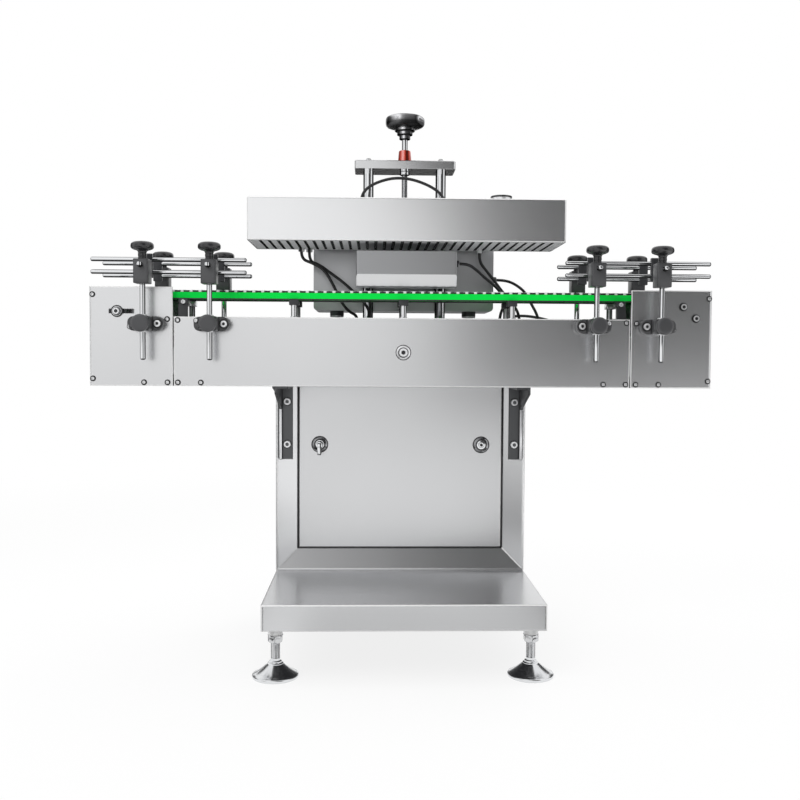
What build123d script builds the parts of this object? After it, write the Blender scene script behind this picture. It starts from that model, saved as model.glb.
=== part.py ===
from build123d import *

import os
from math import cos, degrees, pi, radians, sin, tan

os.makedirs("parts", exist_ok=True)

# Induction cap sealer on a cabinet, with a flat-top chain conveyor in front of it.
# X runs along the conveyor, +Y points away from the viewer, Z is up.
# The origin is on the floor, under the middle of the machine.
# All sizes are in millimetres.

# Driving dimensions: base, cabinet and door
base_width = 600
base_depth = 600
base_height = 56
base_clearance = 113
cabinet_depth = 281
cabinet_height = 571
sheet = 3
surround_width = 46
surround_depth = 25
surround_lip = 5
door_gap = 2.5
door_inset = 23
door_return = 15
door_under_conveyor = 3
lock_inset = 104
lock_height = 473
lock_wing_reach = 24
lock_rosette = 38
lock_barrel = 22

# Driving dimensions: levelling feet
foot_inset_x = 26
foot_inset_y = 52
foot_pad = 100
foot_rim = 8
foot_cone_height = 30
foot_cone_top = 34
foot_stem = 20
foot_boss = 32
foot_boss_drop = 20
foot_nut = 30
foot_nut_height = 16

# Driving dimensions: conveyor body
conveyor_length = 1400
conveyor_width = 120
conveyor_bottom = 618
conveyor_standoff = 21
plate_thickness = 4
side_plate_height = 155
housing_height = 221
housing_length = 185
housing_gap = 2
pan_thickness = 2

# Driving dimensions: chain and its track
chain_width = 82.5
chain_below_housing = 5
slat_thickness = 5
slat_pitch = 19.8
slat_gap = 2
link_band = 2
shaft_inset = 62
sprocket_radius = 44.6
shaft_diameter = 20
strip_height = 13.2
strip_width = 12
rail_height = 2.5
rail_width = 14
track_post_inset = 21
track_post_hang = 66
track_post_width = 15
track_cap_width = 22
track_cap_height = 12

# Driving dimensions: guide rails
outer_post_inset = 129
post_pitch = 145
post_standoff = 43
post_diameter = 12
post_bottom = 676
clamp_height_z = 756
clamp_height = 32
clamp_bolt_offset = 29
disc_knob = 38
cross_block_width = 33
cross_block_depth = 38
cross_block_height = 53
cross_block_bottom = 842
post_grip = 26
arm_drop = 13
rail_rise = 5
arm_diameter = 12
rail_diameter = 10
rail_spacing = 28
lane_gap = 96
rail_overhang = 128
left_rail_inset = 74
right_rail_inset = 60
holder_width = 20
holder_depth = 12
holder_margin = 13
arm_tail = 16
top_knob = 50
top_knob_height = 17
top_knob_neck = 18
top_knob_rise = 21

# Driving dimensions: lift
head_x = 7
column_spacing = 176
column_diameter = 25
column_setback = 59
column_flange = 52
top_plate_width = 242
top_plate_depth = 84
top_plate_thickness = 20
top_plate_bottom = 1136
screw_diameter = 14
collar_diameter = 33
collar_height = 31
hand_knob = 96
hand_knob_height = 30
knob_neck_height = 54

# Driving dimensions: sealing head, coil box and control box
head_width = 712
head_depth = 190
head_bottom = 944
head_height = 96
slot_count = 34
slot_width = 5
slot_pitch = 19.9
coil_width = 228
coil_depth = 88
coil_height = 79
coil_gap = 12
coil_wall = 4
coil_potting = 28
coil_bevel = 14
coil_bevel_rise = 26
control_width = 444
control_depth = 110
control_bottom = 799
control_height = 237
control_corner = 10
carriage_width = 236
carriage_depth = 36
carriage_height = 86

# Running clearance on the radius of every turning or sliding fit
running = 0.05
# Air left between pieces that nearly touch
air = 0.3
# Outer diameter of every visible cable
cable = 7

# Places worked out from the driving dimensions
base_top = base_clearance + base_height
cabinet_back = base_depth / 2
cabinet_front = cabinet_back - cabinet_depth
cabinet_top = base_top + cabinet_height
conveyor_back = cabinet_front - conveyor_standoff
conveyor_front = conveyor_back - conveyor_width
lane_y = (conveyor_front + conveyor_back) / 2
half_length = conveyor_length / 2
side_plate_top = conveyor_bottom + side_plate_height
track_post_bottom = side_plate_top - track_post_hang
housing_top = conveyor_bottom + housing_height
housing_inner = half_length - housing_length
side_plate_half = housing_inner - housing_gap
track_post_pitch = (side_plate_half - track_post_inset) / 2
outer_post_x = half_length - outer_post_inset
inner_post_x = outer_post_x - post_pitch
chain_top = housing_top - chain_below_housing
slat_bottom = chain_top - slat_thickness
wheel_radius = sprocket_radius + 0.4
shaft_z = slat_bottom - wheel_radius
shaft_x = half_length - shaft_inset
strip_top = slat_bottom - air
strip_bottom = strip_top - strip_height
rail_bottom = strip_bottom - rail_height
chain_front = lane_y - chain_width / 2
upper_rail_z = cross_block_bottom + cross_block_height + rail_rise
lower_rail_z = upper_rail_z - rail_spacing
arm_z = cross_block_bottom + cross_block_height - arm_drop
cross_block_top = cross_block_bottom + cross_block_height
post_top = cross_block_bottom + post_grip
post_y = conveyor_width / 2 + post_standoff
rail_y = lane_gap / 2
column_half = column_spacing / 2
column_y = cabinet_front + column_setback
head_top = head_bottom + head_height
head_back = column_y - carriage_depth / 2
head_front = head_back - head_depth
coil_bottom = chain_top + coil_gap
coil_top = coil_bottom + coil_height
control_front = column_y + carriage_depth / 2
control_back = control_front + control_depth
control_top = control_bottom + control_height
top_plate_top = top_plate_bottom + top_plate_thickness
knob_bottom = top_plate_top + collar_height + knob_neck_height


def block(x_low, x_high, y_low, y_high, z_low, z_high, mode=Mode.ADD):
    """A plain block between two corners, added to the part that is being built."""
    middle = ((x_low + x_high) / 2, (y_low + y_high) / 2, (z_low + z_high) / 2)
    with Locations(middle):
        Box(x_high - x_low, y_high - y_low, z_high - z_low, mode=mode)


def rod_z(x, y, z_low, z_high, diameter, mode=Mode.ADD):
    """An upright round bar, or a bore with Mode.SUBTRACT."""
    with Locations((x, y, (z_low + z_high) / 2)):
        Cylinder(diameter / 2, z_high - z_low, mode=mode)


def rod_y(x, z, y_low, y_high, diameter, mode=Mode.ADD):
    """A round bar across the machine, or a bore with Mode.SUBTRACT."""
    with Locations((x, (y_low + y_high) / 2, z)):
        Cylinder(diameter / 2, y_high - y_low, rotation=(90, 0, 0), mode=mode)


def rod_x(y, z, x_low, x_high, diameter, mode=Mode.ADD):
    """A round bar along the machine, or a bore with Mode.SUBTRACT."""
    with Locations(((x_low + x_high) / 2, y, z)):
        Cylinder(diameter / 2, x_high - x_low, rotation=(0, 90, 0), mode=mode)


def cone_z(x, y, z_low, z_high, low_diameter, high_diameter):
    """An upright cone that narrows or widens upwards."""
    with Locations((x, y, (z_low + z_high) / 2)):
        Cone(low_diameter / 2, high_diameter / 2, z_high - z_low)


def hexagon_z(x, y, z_low, z_high, across_flats):
    """An upright hexagon head or nut."""
    with BuildSketch(Plane.XY.offset(z_low)) as outline:
        with Locations((x, y)):
            RegularPolygon(across_flats / 2, 6, major_radius=False)
    extrude(outline.sketch, amount=z_high - z_low)


def save(builder, label):
    """Name a finished piece and write its file."""
    builder.part.label = label
    export_step(builder.part, f"parts/{label}.step")


# Base plinth: a folded tray, open below, with a threaded boss over each foot
foot_out_x = base_width / 2 - foot_inset_x
foot_out_y = base_depth / 2 - foot_inset_y
foot_places = [
    ("front_left", -foot_out_x, -foot_out_y),
    ("front_right", foot_out_x, -foot_out_y),
    ("rear_left", -foot_out_x, foot_out_y),
    ("rear_right", foot_out_x, foot_out_y),
]
boss_bottom = base_clearance - foot_boss_drop
with BuildPart() as base_plinth:
    with BuildSketch(Plane.XY.offset(base_clearance)):
        Rectangle(base_width, base_depth)
    extrude(amount=base_height)
    fillet(base_plinth.edges().filter_by(Axis.Z), radius=4)
    fillet(base_plinth.faces().sort_by(Axis.Z)[-1].edges(), radius=3)
    with BuildSketch(Plane.XY.offset(base_clearance)):
        Rectangle(base_width - 2 * sheet, base_depth - 2 * sheet)
    extrude(amount=base_height - sheet, mode=Mode.SUBTRACT)
    for foot_name, foot_x, foot_y in foot_places:
        rod_z(foot_x, foot_y, boss_bottom, base_top - sheet, foot_boss)
        rod_z(foot_x, foot_y, boss_bottom, base_top - sheet, foot_stem + 2 * running, Mode.SUBTRACT)
save(base_plinth, "base_plinth")

# Levelling feet: a conical pad, a small hexagon and a long stem that screws into the boss
hexagon_top = foot_cone_height + foot_rim
nut_bottom = boss_bottom - foot_nut_height - air
stem_top = base_top - sheet - foot_boss_drop
for foot_name, foot_x, foot_y in foot_places:
    with BuildPart() as foot:
        rod_z(foot_x, foot_y, 0, foot_rim, foot_pad)
        fillet(foot.edges().filter_by(GeomType.CIRCLE).group_by(Axis.Z)[-1], radius=2)
        cone_z(foot_x, foot_y, foot_rim, foot_cone_height, foot_pad - 6, foot_cone_top)
        hexagon_z(foot_x, foot_y, foot_cone_height, hexagon_top, foot_stem + 6)
        rod_z(foot_x, foot_y, hexagon_top, stem_top, foot_stem)
    save(foot, f"{foot_name}_foot")

# Lock nuts on the foot stems, run up against the bosses
with BuildPart() as foot_lock_nuts:
    for foot_name, foot_x, foot_y in foot_places:
        hexagon_z(foot_x, foot_y, nut_bottom, nut_bottom + foot_nut_height, foot_nut)
        rod_z(foot_x, foot_y, nut_bottom, boss_bottom, foot_stem + 2 * running, Mode.SUBTRACT)
save(foot_lock_nuts, "foot_lock_nuts")

# Cabinet shell: a box with a bevelled surround that steps back to the door opening
opening_half = base_width / 2 - surround_lip - surround_width
opening_bottom = base_top + surround_lip + surround_width
opening_top = conveyor_bottom
frame_face = cabinet_front + surround_depth
frame_back = frame_face + sheet
opening_middle = (opening_bottom + opening_top) / 2
opening_height = opening_top - opening_bottom
return_back = frame_face + door_return
inside_half = base_width / 2 - sheet
with BuildPart() as cabinet_shell:
    block(-base_width / 2, base_width / 2, cabinet_front, cabinet_back, base_top, cabinet_top)
    fillet(cabinet_shell.edges().filter_by(Axis.Z), radius=3)
    block(-inside_half, inside_half, frame_back, cabinet_back - sheet, base_top + sheet,
          cabinet_top - sheet, Mode.SUBTRACT)
    # The bevel is a picture frame: a wide rectangle at the front lofted to the opening
    with BuildSketch(Plane.XZ.offset(-cabinet_front)):
        with Locations((0, opening_middle)):
            Rectangle(2 * (opening_half + surround_width), opening_height + 2 * surround_width)
    with BuildSketch(Plane.XZ.offset(-frame_face)):
        with Locations((0, opening_middle)):
            Rectangle(2 * opening_half, opening_height)
    loft(mode=Mode.SUBTRACT)
    block(-opening_half, opening_half, frame_face, return_back, opening_bottom,
          opening_top, Mode.SUBTRACT)
    # A return runs round the opening and stiffens the frame
    with BuildSketch(Plane.XZ.offset(-return_back)):
        with Locations((0, opening_middle)):
            Rectangle(2 * (opening_half + sheet), opening_height + 2 * sheet)
            Rectangle(2 * opening_half, opening_height, mode=Mode.SUBTRACT)
    extrude(amount=door_return - sheet)
save(cabinet_shell, "cabinet_shell")

# Door: a folded pan that lifts off, with its front face a little proud of the frame
door_face = cabinet_front + door_inset
door_half = opening_half - door_gap
# The door rests on the lower return, with its gap at the sides and on top
door_bottom = opening_bottom + air
door_top = opening_top - door_under_conveyor
door_back = door_face + door_return
lock_out = base_width / 2 - lock_inset
with BuildPart() as cabinet_door:
    block(-door_half, door_half, door_face, door_back, door_bottom, door_top)
    fillet(cabinet_door.faces().sort_by(Axis.Y)[0].edges(), radius=1.5)
    block(-door_half + sheet, door_half - sheet, door_face + sheet, door_back, door_bottom + sheet,
          door_top - sheet, Mode.SUBTRACT)
    for side in (-1, 1):
        rod_y(side * lock_out, lock_height, door_face, door_face + sheet,
              lock_barrel + 2 * running, Mode.SUBTRACT)
save(cabinet_door, "cabinet_door")

# Quarter-turn locks: rosette, barrel and a cam that turns behind the frame's return
cam_front = return_back + air + 0.5
cam_thickness = 3
cam_overlap = 16
cam_reach = opening_half - lock_out + cam_overlap
for side, lock_name in ((-1, "left_door_lock"), (1, "right_door_lock")):
    lock_x = side * lock_out
    with BuildPart() as door_lock:
        rod_y(lock_x, lock_height, door_face - 5, door_face - air, lock_rosette)
        fillet(door_lock.edges().filter_by(GeomType.CIRCLE).group_by(Axis.Y)[0], radius=2)
        rod_y(lock_x, lock_height, door_face - air, cam_front, lock_barrel)
        block(lock_x - 8, lock_x + 8, cam_front, cam_front + cam_thickness,
              lock_height - cam_reach, lock_height + 10)
        if side < 0:
            # The left lock still holds its wing key
            block(lock_x - 3, lock_x + 3, door_face - 27, door_face - 5, lock_height - 4,
                  lock_height + 4)
            block(lock_x - 2, lock_x + 2, door_face - 31, door_face - 23, lock_height - lock_wing_reach,
                  lock_height + 6)
        else:
            block(lock_x - 1.5, lock_x + 1.5, door_face - 5, door_face - 2, lock_height - 7,
                  lock_height + 7, Mode.SUBTRACT)
    save(door_lock, lock_name)

# Brackets that carry the conveyor: back plate, shelf, ribs and a curved outer gusset
bracket_inner = base_width / 2 - 41
bracket_outer = base_width / 2 - 10
bracket_drop = 178
bracket_plate = 6
rib_depth = 11
rib_flare = 50
gusset_height = 46
gusset_width = 18
with BuildPart() as conveyor_brackets:
    for side in (-1, 1):
        inner, outer = sorted((side * bracket_inner, side * bracket_outer))
        rib_x = side * (bracket_outer - bracket_plate / 2)
        plate_front = cabinet_front - bracket_plate
        block(inner, outer, plate_front, cabinet_front, conveyor_bottom - bracket_drop, conveyor_bottom)
        block(inner, outer, conveyor_front + 10, cabinet_front, conveyor_bottom - bracket_plate,
              conveyor_bottom)
        # The rib is low along the back plate and widens under the shelf
        with BuildSketch(Plane.YZ.offset(rib_x - bracket_plate / 2)):
            with BuildLine():
                shelf_low = conveyor_bottom - bracket_plate
                Polyline(
                    (conveyor_front + 10, shelf_low),
                    (plate_front, shelf_low),
                    (plate_front, conveyor_bottom - bracket_drop),
                    (plate_front - rib_depth, conveyor_bottom - bracket_drop),
                    (plate_front - rib_depth, shelf_low - rib_flare),
                    (conveyor_front + 10, shelf_low - 10),
                    close=True,
                )
            make_face()
        extrude(amount=bracket_plate)
        # The outer gusset has a hollow curve
        gusset_x = side * bracket_outer
        with BuildSketch(Plane.XZ.offset(-cabinet_front)):
            with BuildLine():
                top_out = (gusset_x + side * gusset_width, conveyor_bottom)
                low_in = (gusset_x, conveyor_bottom - gusset_height)
                Line((gusset_x, conveyor_bottom), top_out)
                Line(top_out, (top_out[0], conveyor_bottom - 8))
                ThreePointArc(
                    (top_out[0], conveyor_bottom - 8),
                    (gusset_x + side * gusset_width * 0.45, conveyor_bottom - gusset_height * 0.5),
                    low_in,
                )
                Line(low_in, (gusset_x, conveyor_bottom))
            make_face()
        extrude(amount=bracket_plate)
        for drop in (40, 142):
            rod_y(side * (bracket_inner + 13), conveyor_bottom - drop, plate_front - 7, plate_front, 17)
save(conveyor_brackets, "conveyor_brackets")

# Conveyor side plates, a pan under them, and the pieces that join the body
plate_inner_front = conveyor_front + plate_thickness
plate_inner_back = conveyor_back - plate_thickness
tie_height = (conveyor_bottom + side_plate_top) / 2
tie_diameter = 12
with BuildPart() as front_side_plate:
    block(-side_plate_half, side_plate_half, conveyor_front, plate_inner_front, conveyor_bottom,
          side_plate_top)
    fillet(front_side_plate.faces().sort_by(Axis.Y)[0].edges(), radius=1)
    rod_y(0, tie_height, conveyor_front, plate_inner_front, tie_diameter + 2 * air, Mode.SUBTRACT)
save(front_side_plate, "front_side_plate")

with BuildPart() as rear_side_plate:
    block(-side_plate_half, side_plate_half, plate_inner_back, conveyor_back, conveyor_bottom,
          side_plate_top)
    fillet(rear_side_plate.faces().sort_by(Axis.Y)[-1].edges(), radius=1)
    rod_y(0, tie_height, plate_inner_back, conveyor_back, tie_diameter + 2 * air, Mode.SUBTRACT)
save(rear_side_plate, "rear_side_plate")

pan_lip = 24
with BuildPart() as bottom_pan:
    block(-side_plate_half, side_plate_half, plate_inner_front, plate_inner_back, conveyor_bottom,
          conveyor_bottom + pan_lip)
    block(-side_plate_half, side_plate_half, plate_inner_front + pan_thickness,
          plate_inner_back - pan_thickness, conveyor_bottom + pan_thickness,
          conveyor_bottom + pan_lip, Mode.SUBTRACT)
save(bottom_pan, "bottom_pan")

splice_inner = side_plate_half - 40
splice_outer = housing_inner + 40
splice_bottom = conveyor_bottom + pan_lip + 2
splice_top = track_post_bottom - 3
with BuildPart() as frame_joiners:
    for side in (-1, 1):
        inner, outer = sorted((side * splice_inner, side * splice_outer))
        block(inner, outer, plate_inner_front, plate_inner_front + plate_thickness, splice_bottom,
              splice_top)
        block(inner, outer, plate_inner_back - plate_thickness, plate_inner_back, splice_bottom,
              splice_top)
    # The tie bolt holds the side plates apart, with a large washer at each end
    rod_y(0, tie_height, conveyor_front - 9, conveyor_back + 9, tie_diameter)
    rod_y(0, tie_height, conveyor_front - 3, conveyor_front, 30)
    rod_y(0, tie_height, conveyor_front - 10, conveyor_front - 3, 19)
    rod_y(0, tie_height, conveyor_back, conveyor_back + 3, 30)
    rod_y(0, tie_height, conveyor_back + 3, conveyor_back + 10, 19)
save(frame_joiners, "frame_joiners")

# End housings: folded boxes, open above, with a lower nose so that goods can pass on
take_up_slot = 55
take_up_slot_height = 10
take_up_slot_x = -half_length + 72
take_up_x = -shaft_x
nose_top = chain_top - 14
housing_corner = 6
bearing_depth = 10
for side, housing_name in ((-1, "left_end_housing"), (1, "right_end_housing")):
    inner, outer = sorted((side * housing_inner, side * half_length))
    wall_x = side * (half_length - plate_thickness)
    cavity_low, cavity_high = sorted((side * housing_inner, wall_x))
    nose_low, nose_high = sorted((wall_x, side * half_length))
    with BuildPart() as end_housing:
        block(inner, outer, conveyor_front, conveyor_back, conveyor_bottom, housing_top)
        outer_edges = end_housing.edges().filter_by(Axis.Z).group_by(Axis.X)
        fillet(outer_edges[-1] if side > 0 else outer_edges[0], radius=housing_corner)
        block(cavity_low, cavity_high, plate_inner_front, plate_inner_back,
              conveyor_bottom + plate_thickness, housing_top, Mode.SUBTRACT)
        block(nose_low, nose_high, plate_inner_front, plate_inner_back, nose_top, housing_top,
              Mode.SUBTRACT)
        if side < 0:
            # Slots for the take-up, through both walls
            block(take_up_slot_x - take_up_slot / 2, take_up_slot_x + take_up_slot / 2,
                  conveyor_front, conveyor_back, shaft_z - take_up_slot_height / 2,
                  shaft_z + take_up_slot_height / 2, Mode.SUBTRACT)
        else:
            # Flanged bearings for the drive shaft on the inner faces of the walls
            for wall, inward in ((plate_inner_front, 1), (plate_inner_back, -1)):
                low, high = sorted((wall, wall + inward * bearing_depth))
                block(shaft_x - 26, shaft_x + 26, low, high, shaft_z - 19, shaft_z + 19)
            rod_y(shaft_x, shaft_z, plate_inner_front, conveyor_back, shaft_diameter + 2 * running,
                  Mode.SUBTRACT)
    save(end_housing, housing_name)

# Chain: one endless flat-top chain, its slats parted by narrow gaps
straight_run = 2 * shaft_x
slat_top_radius = wheel_radius + slat_thickness
chain_length = 2 * straight_run + 2 * pi * slat_top_radius
slat_count = round((2 * straight_run + 2 * pi * wheel_radius) / slat_pitch)
step = chain_length / slat_count
notch_depth = slat_thickness - link_band


def chain_station(travel):
    """Place on the chain's outer face, and the outward angle there, after a length of travel."""
    radius = slat_top_radius
    arc = pi * radius
    if travel < straight_run:
        return -shaft_x + travel, shaft_z + radius, 90
    travel -= straight_run
    if travel < arc:
        turn = travel / radius
        return shaft_x + radius * sin(turn), shaft_z + radius * cos(turn), 90 - degrees(turn)
    travel -= arc
    if travel < straight_run:
        return shaft_x - travel, shaft_z - radius, -90
    travel -= straight_run
    turn = travel / radius
    return -shaft_x - radius * sin(turn), shaft_z - radius * cos(turn), -90 - degrees(turn)


with BuildPart() as conveyor_chain:
    with BuildSketch(Plane.XZ.offset(-(lane_y + chain_width / 2))):
        with Locations((0, shaft_z)):
            SlotCenterToCenter(straight_run, 2 * slat_top_radius)
            SlotCenterToCenter(straight_run, 2 * wheel_radius, mode=Mode.SUBTRACT)
        notches = []
        for index in range(slat_count):
            notch_x, notch_z, notch_angle = chain_station((index + 0.5) * step)
            notches.append(Location((notch_x, notch_z, 0), (0, 0, notch_angle)))
        with Locations(*notches):
            Rectangle(2 * notch_depth, slat_gap, mode=Mode.SUBTRACT)
    extrude(amount=chain_width)
save(conveyor_chain, "conveyor_chain")

# Green wear strips under both edges of the chain, and the dark rails that carry them
strip_half = shaft_x - 30
strip_outer = chain_front - 0.75
with BuildPart() as wear_strips:
    for side in (-1, 1):
        edge = lane_y + side * (lane_y - strip_outer)
        low, high = sorted((edge, edge - side * strip_width))
        block(-strip_half, strip_half, low, high, strip_bottom, strip_top)
    chamfer(wear_strips.edges().filter_by(Axis.X).group_by(Axis.Z)[-1], length=1)
save(wear_strips, "wear_strips")

with BuildPart() as track_rails:
    for side in (-1, 1):
        edge = lane_y + side * (lane_y - strip_outer)
        low, high = sorted((edge, edge - side * rail_width))
        block(-strip_half, strip_half, low, high, rail_bottom, strip_bottom)
save(track_rails, "track_rails")

# Track posts stand on the inner faces of the side plates, with a cap under the rail
cap_low = rail_bottom - track_cap_height
cap_reach = strip_outer - plate_inner_front + rail_width - 3
with BuildPart() as track_posts:
    for side in (-1, 1):
        wall = lane_y + side * (conveyor_width / 2 - plate_thickness)
        post_inner = wall - side * (track_post_width - 2)
        cap_inner = wall - side * cap_reach
        post_range = sorted((wall, post_inner))
        cap_range = sorted((wall, cap_inner))
        for index in (-2, -1, 0, 1, 2):
            x = index * track_post_pitch
            block(x - track_post_width / 2, x + track_post_width / 2, *post_range, track_post_bottom,
                  cap_low)
            block(x - track_cap_width / 2, x + track_cap_width / 2, *cap_range, cap_low, rail_bottom)
save(track_posts, "track_posts")

# Shafts with a pair of toothed wheels under the chain
wheel_thickness = 18
wheel_offset = 16
hub_half = 27
hub_diameter = 34
tooth_count = 14
tooth_notch = 9


def toothed_wheel(x, y):
    """A chain wheel: a disc with round notches between its teeth."""
    with BuildSketch(Plane.XZ.offset(-(y + wheel_thickness / 2))) as wheel:
        with Locations((x, shaft_z)):
            Circle(sprocket_radius)
            with PolarLocations(sprocket_radius + 1, tooth_count):
                Circle(tooth_notch / 2, mode=Mode.SUBTRACT)
    extrude(wheel.sketch, amount=wheel_thickness)


with BuildPart() as drive_shaft:
    rod_y(shaft_x, shaft_z, plate_inner_front + air, conveyor_back + 24, shaft_diameter)
    for offset in (-wheel_offset, wheel_offset):
        toothed_wheel(shaft_x, lane_y + offset)
    rod_y(shaft_x, shaft_z, lane_y - hub_half, lane_y + hub_half, hub_diameter)
save(drive_shaft, "drive_shaft")

with BuildPart() as idler_shaft:
    rod_y(-shaft_x, shaft_z, plate_inner_front + 3, plate_inner_back - 3, shaft_diameter)
    for offset in (-wheel_offset, wheel_offset):
        toothed_wheel(-shaft_x, lane_y + offset)
    rod_y(-shaft_x, shaft_z, lane_y - hub_half, lane_y + hub_half, hub_diameter)
save(idler_shaft, "idler_shaft")

# Take-up blocks carry the idler shaft in blind bores and slide along the left housing's slots
bore_floor = 2.6
with BuildPart() as take_up_blocks:
    for side in (-1, 1):
        wall_in = lane_y + side * (conveyor_width / 2 - plate_thickness)
        wall_out = lane_y + side * conveyor_width / 2
        block_low, block_high = sorted((wall_in - side * air, wall_in - side * bearing_depth))
        bore_low, bore_high = sorted((wall_in - side * bore_floor, wall_in - side * bearing_depth))
        pin_low, pin_high = sorted((wall_in - side * air, wall_out + side * air))
        washer_low, washer_high = sorted((wall_out + side * air, wall_out + side * 3))
        bolt_low, bolt_high = sorted((wall_out + side * 3, wall_out + side * 10))
        block(take_up_x - 20, take_up_x + 20, block_low, block_high, shaft_z - 20, shaft_z + 20)
        rod_y(take_up_x, shaft_z, bore_low, bore_high, shaft_diameter + 2 * running, Mode.SUBTRACT)
        rod_y(take_up_x, shaft_z, pin_low, pin_high, take_up_slot_height - 2 * air)
        rod_y(take_up_x, shaft_z, washer_low, washer_high, 22)
        rod_y(take_up_x, shaft_z, bolt_low, bolt_high, 15)
save(take_up_blocks, "take_up_blocks")

# Gear motor behind the right housing
gearbox = 86
gearbox_depth = 50
gearbox_boss = 52
gearbox_boss_length = 66
motor_diameter = 80
motor_length = 116
gearbox_front = conveyor_back + gearbox_boss_length
gearbox_back = gearbox_front + gearbox_depth
motor_back = gearbox_back + motor_length
terminal_y = gearbox_back + 65
motor_gland_x = shaft_x - motor_diameter / 2 - 28
with BuildPart() as gear_motor:
    block(shaft_x - gearbox / 2, shaft_x + gearbox / 2, gearbox_front, gearbox_back,
          shaft_z - gearbox / 2, shaft_z + gearbox / 2)
    fillet(gear_motor.edges().filter_by(Axis.Y), radius=8)
    rod_y(shaft_x, shaft_z, conveyor_back, gearbox_front, gearbox_boss)
    rod_y(shaft_x, shaft_z, gearbox_back, motor_back, motor_diameter)
    rod_y(shaft_x, shaft_z, motor_back, motor_back + 6, motor_diameter - 14)
    # The terminal box is on the side that faces the cabinet
    block(motor_gland_x + 12, shaft_x - 20, terminal_y - 25, terminal_y + 25, shaft_z - 24, shaft_z + 24)
    rod_x(terminal_y, shaft_z, motor_gland_x, motor_gland_x + 12, 16)
    rod_y(shaft_x, shaft_z, conveyor_back, conveyor_back + 25, shaft_diameter + 2 * running,
          Mode.SUBTRACT)
save(gear_motor, "gear_motor")

# Screws: small heads on the covers, two larger ones over the bearing, and nuts behind the wall
cover_screw = 9
bearing_bolt = 17
screw_head = 2.5
cover_edge = 8
left_cover_screws = [
    (-half_length + cover_edge, housing_top - 18),
    (-half_length + cover_edge, conveyor_bottom + 16),
    (-housing_inner - 64, conveyor_bottom + cover_edge),
    (-housing_inner - 12, conveyor_bottom + cover_edge),
    (-housing_inner - 12, side_plate_top - 6),
]
right_cover_screws = [
    (half_length - cover_edge, housing_top - 18),
    (half_length - cover_edge, conveyor_bottom + 16),
    (housing_inner + 64, conveyor_bottom + cover_edge),
    (housing_inner + 12, conveyor_bottom + cover_edge),
    (housing_inner + 12, side_plate_top - 9),
]
plate_screws = [
    (side * x, z)
    for side in (-1, 1)
    for x, z in (
        (side_plate_half - 9, side_plate_top - 8),
        (side_plate_half - 9, conveyor_bottom + cover_edge),
        (side_plate_half - 60, conveyor_bottom + cover_edge),
    )
]
bearing_bolts = [(shaft_x - 5, shaft_z + 18), (shaft_x + 24, shaft_z - 8)]
with BuildPart() as cover_screws:
    for x, z in left_cover_screws + right_cover_screws + plate_screws:
        rod_y(x, z, conveyor_front - screw_head, conveyor_front, cover_screw)
        rod_y(x, z, conveyor_back, conveyor_back + screw_head, cover_screw)
    for x, z in bearing_bolts:
        rod_y(x, z, conveyor_front - 6, conveyor_front, bearing_bolt)
save(cover_screws, "cover_screws")

# Guide rails: four sets, each on two posts, with two cross arms, two holders and two rails
rail_sets = [
    ("front_left", -1, -1),
    ("front_right", 1, -1),
    ("rear_left", -1, 1),
    ("rear_right", 1, 1),
]
clamp_inner_end = 37.5
clamp_outer_end = 38
clamp_arm_depth = 28
clamp_head_half = 18
clamp_corner = 6
knob_screw = 10


def across(side_y, distance):
    """The Y of a point that lies a distance out from the middle of the lane."""
    return lane_y + side_y * distance


def span(side_y, near, far):
    """Low and high Y of a stretch between two distances from the middle of the lane."""
    return sorted((across(side_y, near), across(side_y, far)))


wall_out = conveyor_width / 2
disc_near = post_y + clamp_head_half + air
disc_far = disc_near + 14
with BuildPart() as post_clamps:
    for set_name, side_x, side_y in rail_sets:
        for post_x in (inner_post_x, outer_post_x):
            x = side_x * post_x
            low, high = sorted((x - side_x * clamp_inner_end, x + side_x * clamp_outer_end))
            wall_range = span(side_y, wall_out, wall_out + clamp_arm_depth)
            with BuildSketch(Plane.XZ.offset(-wall_range[1])) as arm_outline:
                with Locations(((low + high) / 2, clamp_height_z)):
                    RectangleRounded(high - low, clamp_height, clamp_corner)
            extrude(arm_outline.sketch, amount=clamp_arm_depth)
            block(x - clamp_head_half, x + clamp_head_half,
                  *span(side_y, wall_out + clamp_arm_depth, post_y + clamp_head_half),
                  clamp_height_z - clamp_height / 2, clamp_height_z + clamp_height / 2)
            rod_z(x, across(side_y, post_y), clamp_height_z - clamp_height,
                  clamp_height_z + clamp_height, post_diameter + 2 * running, Mode.SUBTRACT)
            # The disc knob's screw runs in this bore
            rod_y(x, clamp_height_z,
                  *span(side_y, post_y + post_diameter / 2, post_y + clamp_head_half),
                  knob_screw + 2 * running, Mode.SUBTRACT)
            # Bolt that holds the clamp on the side plate
            rod_y(x - side_x * clamp_bolt_offset, clamp_height_z,
                  *span(side_y, wall_out + clamp_arm_depth, wall_out + clamp_arm_depth + 8), 14)
            # Disc knob with its screw
            rod_y(x, clamp_height_z, *span(side_y, post_y + post_diameter / 2 + air, disc_near),
                  knob_screw)
            rod_y(x, clamp_height_z, *span(side_y, disc_near, disc_far), disc_knob)
save(post_clamps, "post_clamps")

block_near = post_y - cross_block_depth / 2
block_far = post_y + cross_block_depth / 2
arm_far = block_far + arm_tail
holder_near = rail_y - holder_depth / 2
holder_far = rail_y + holder_depth / 2
neck_bottom = cross_block_top
knob_low = cross_block_top + top_knob_rise
knob_high = knob_low + top_knob_height
stem_low = arm_z + arm_diameter / 2 + air


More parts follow.
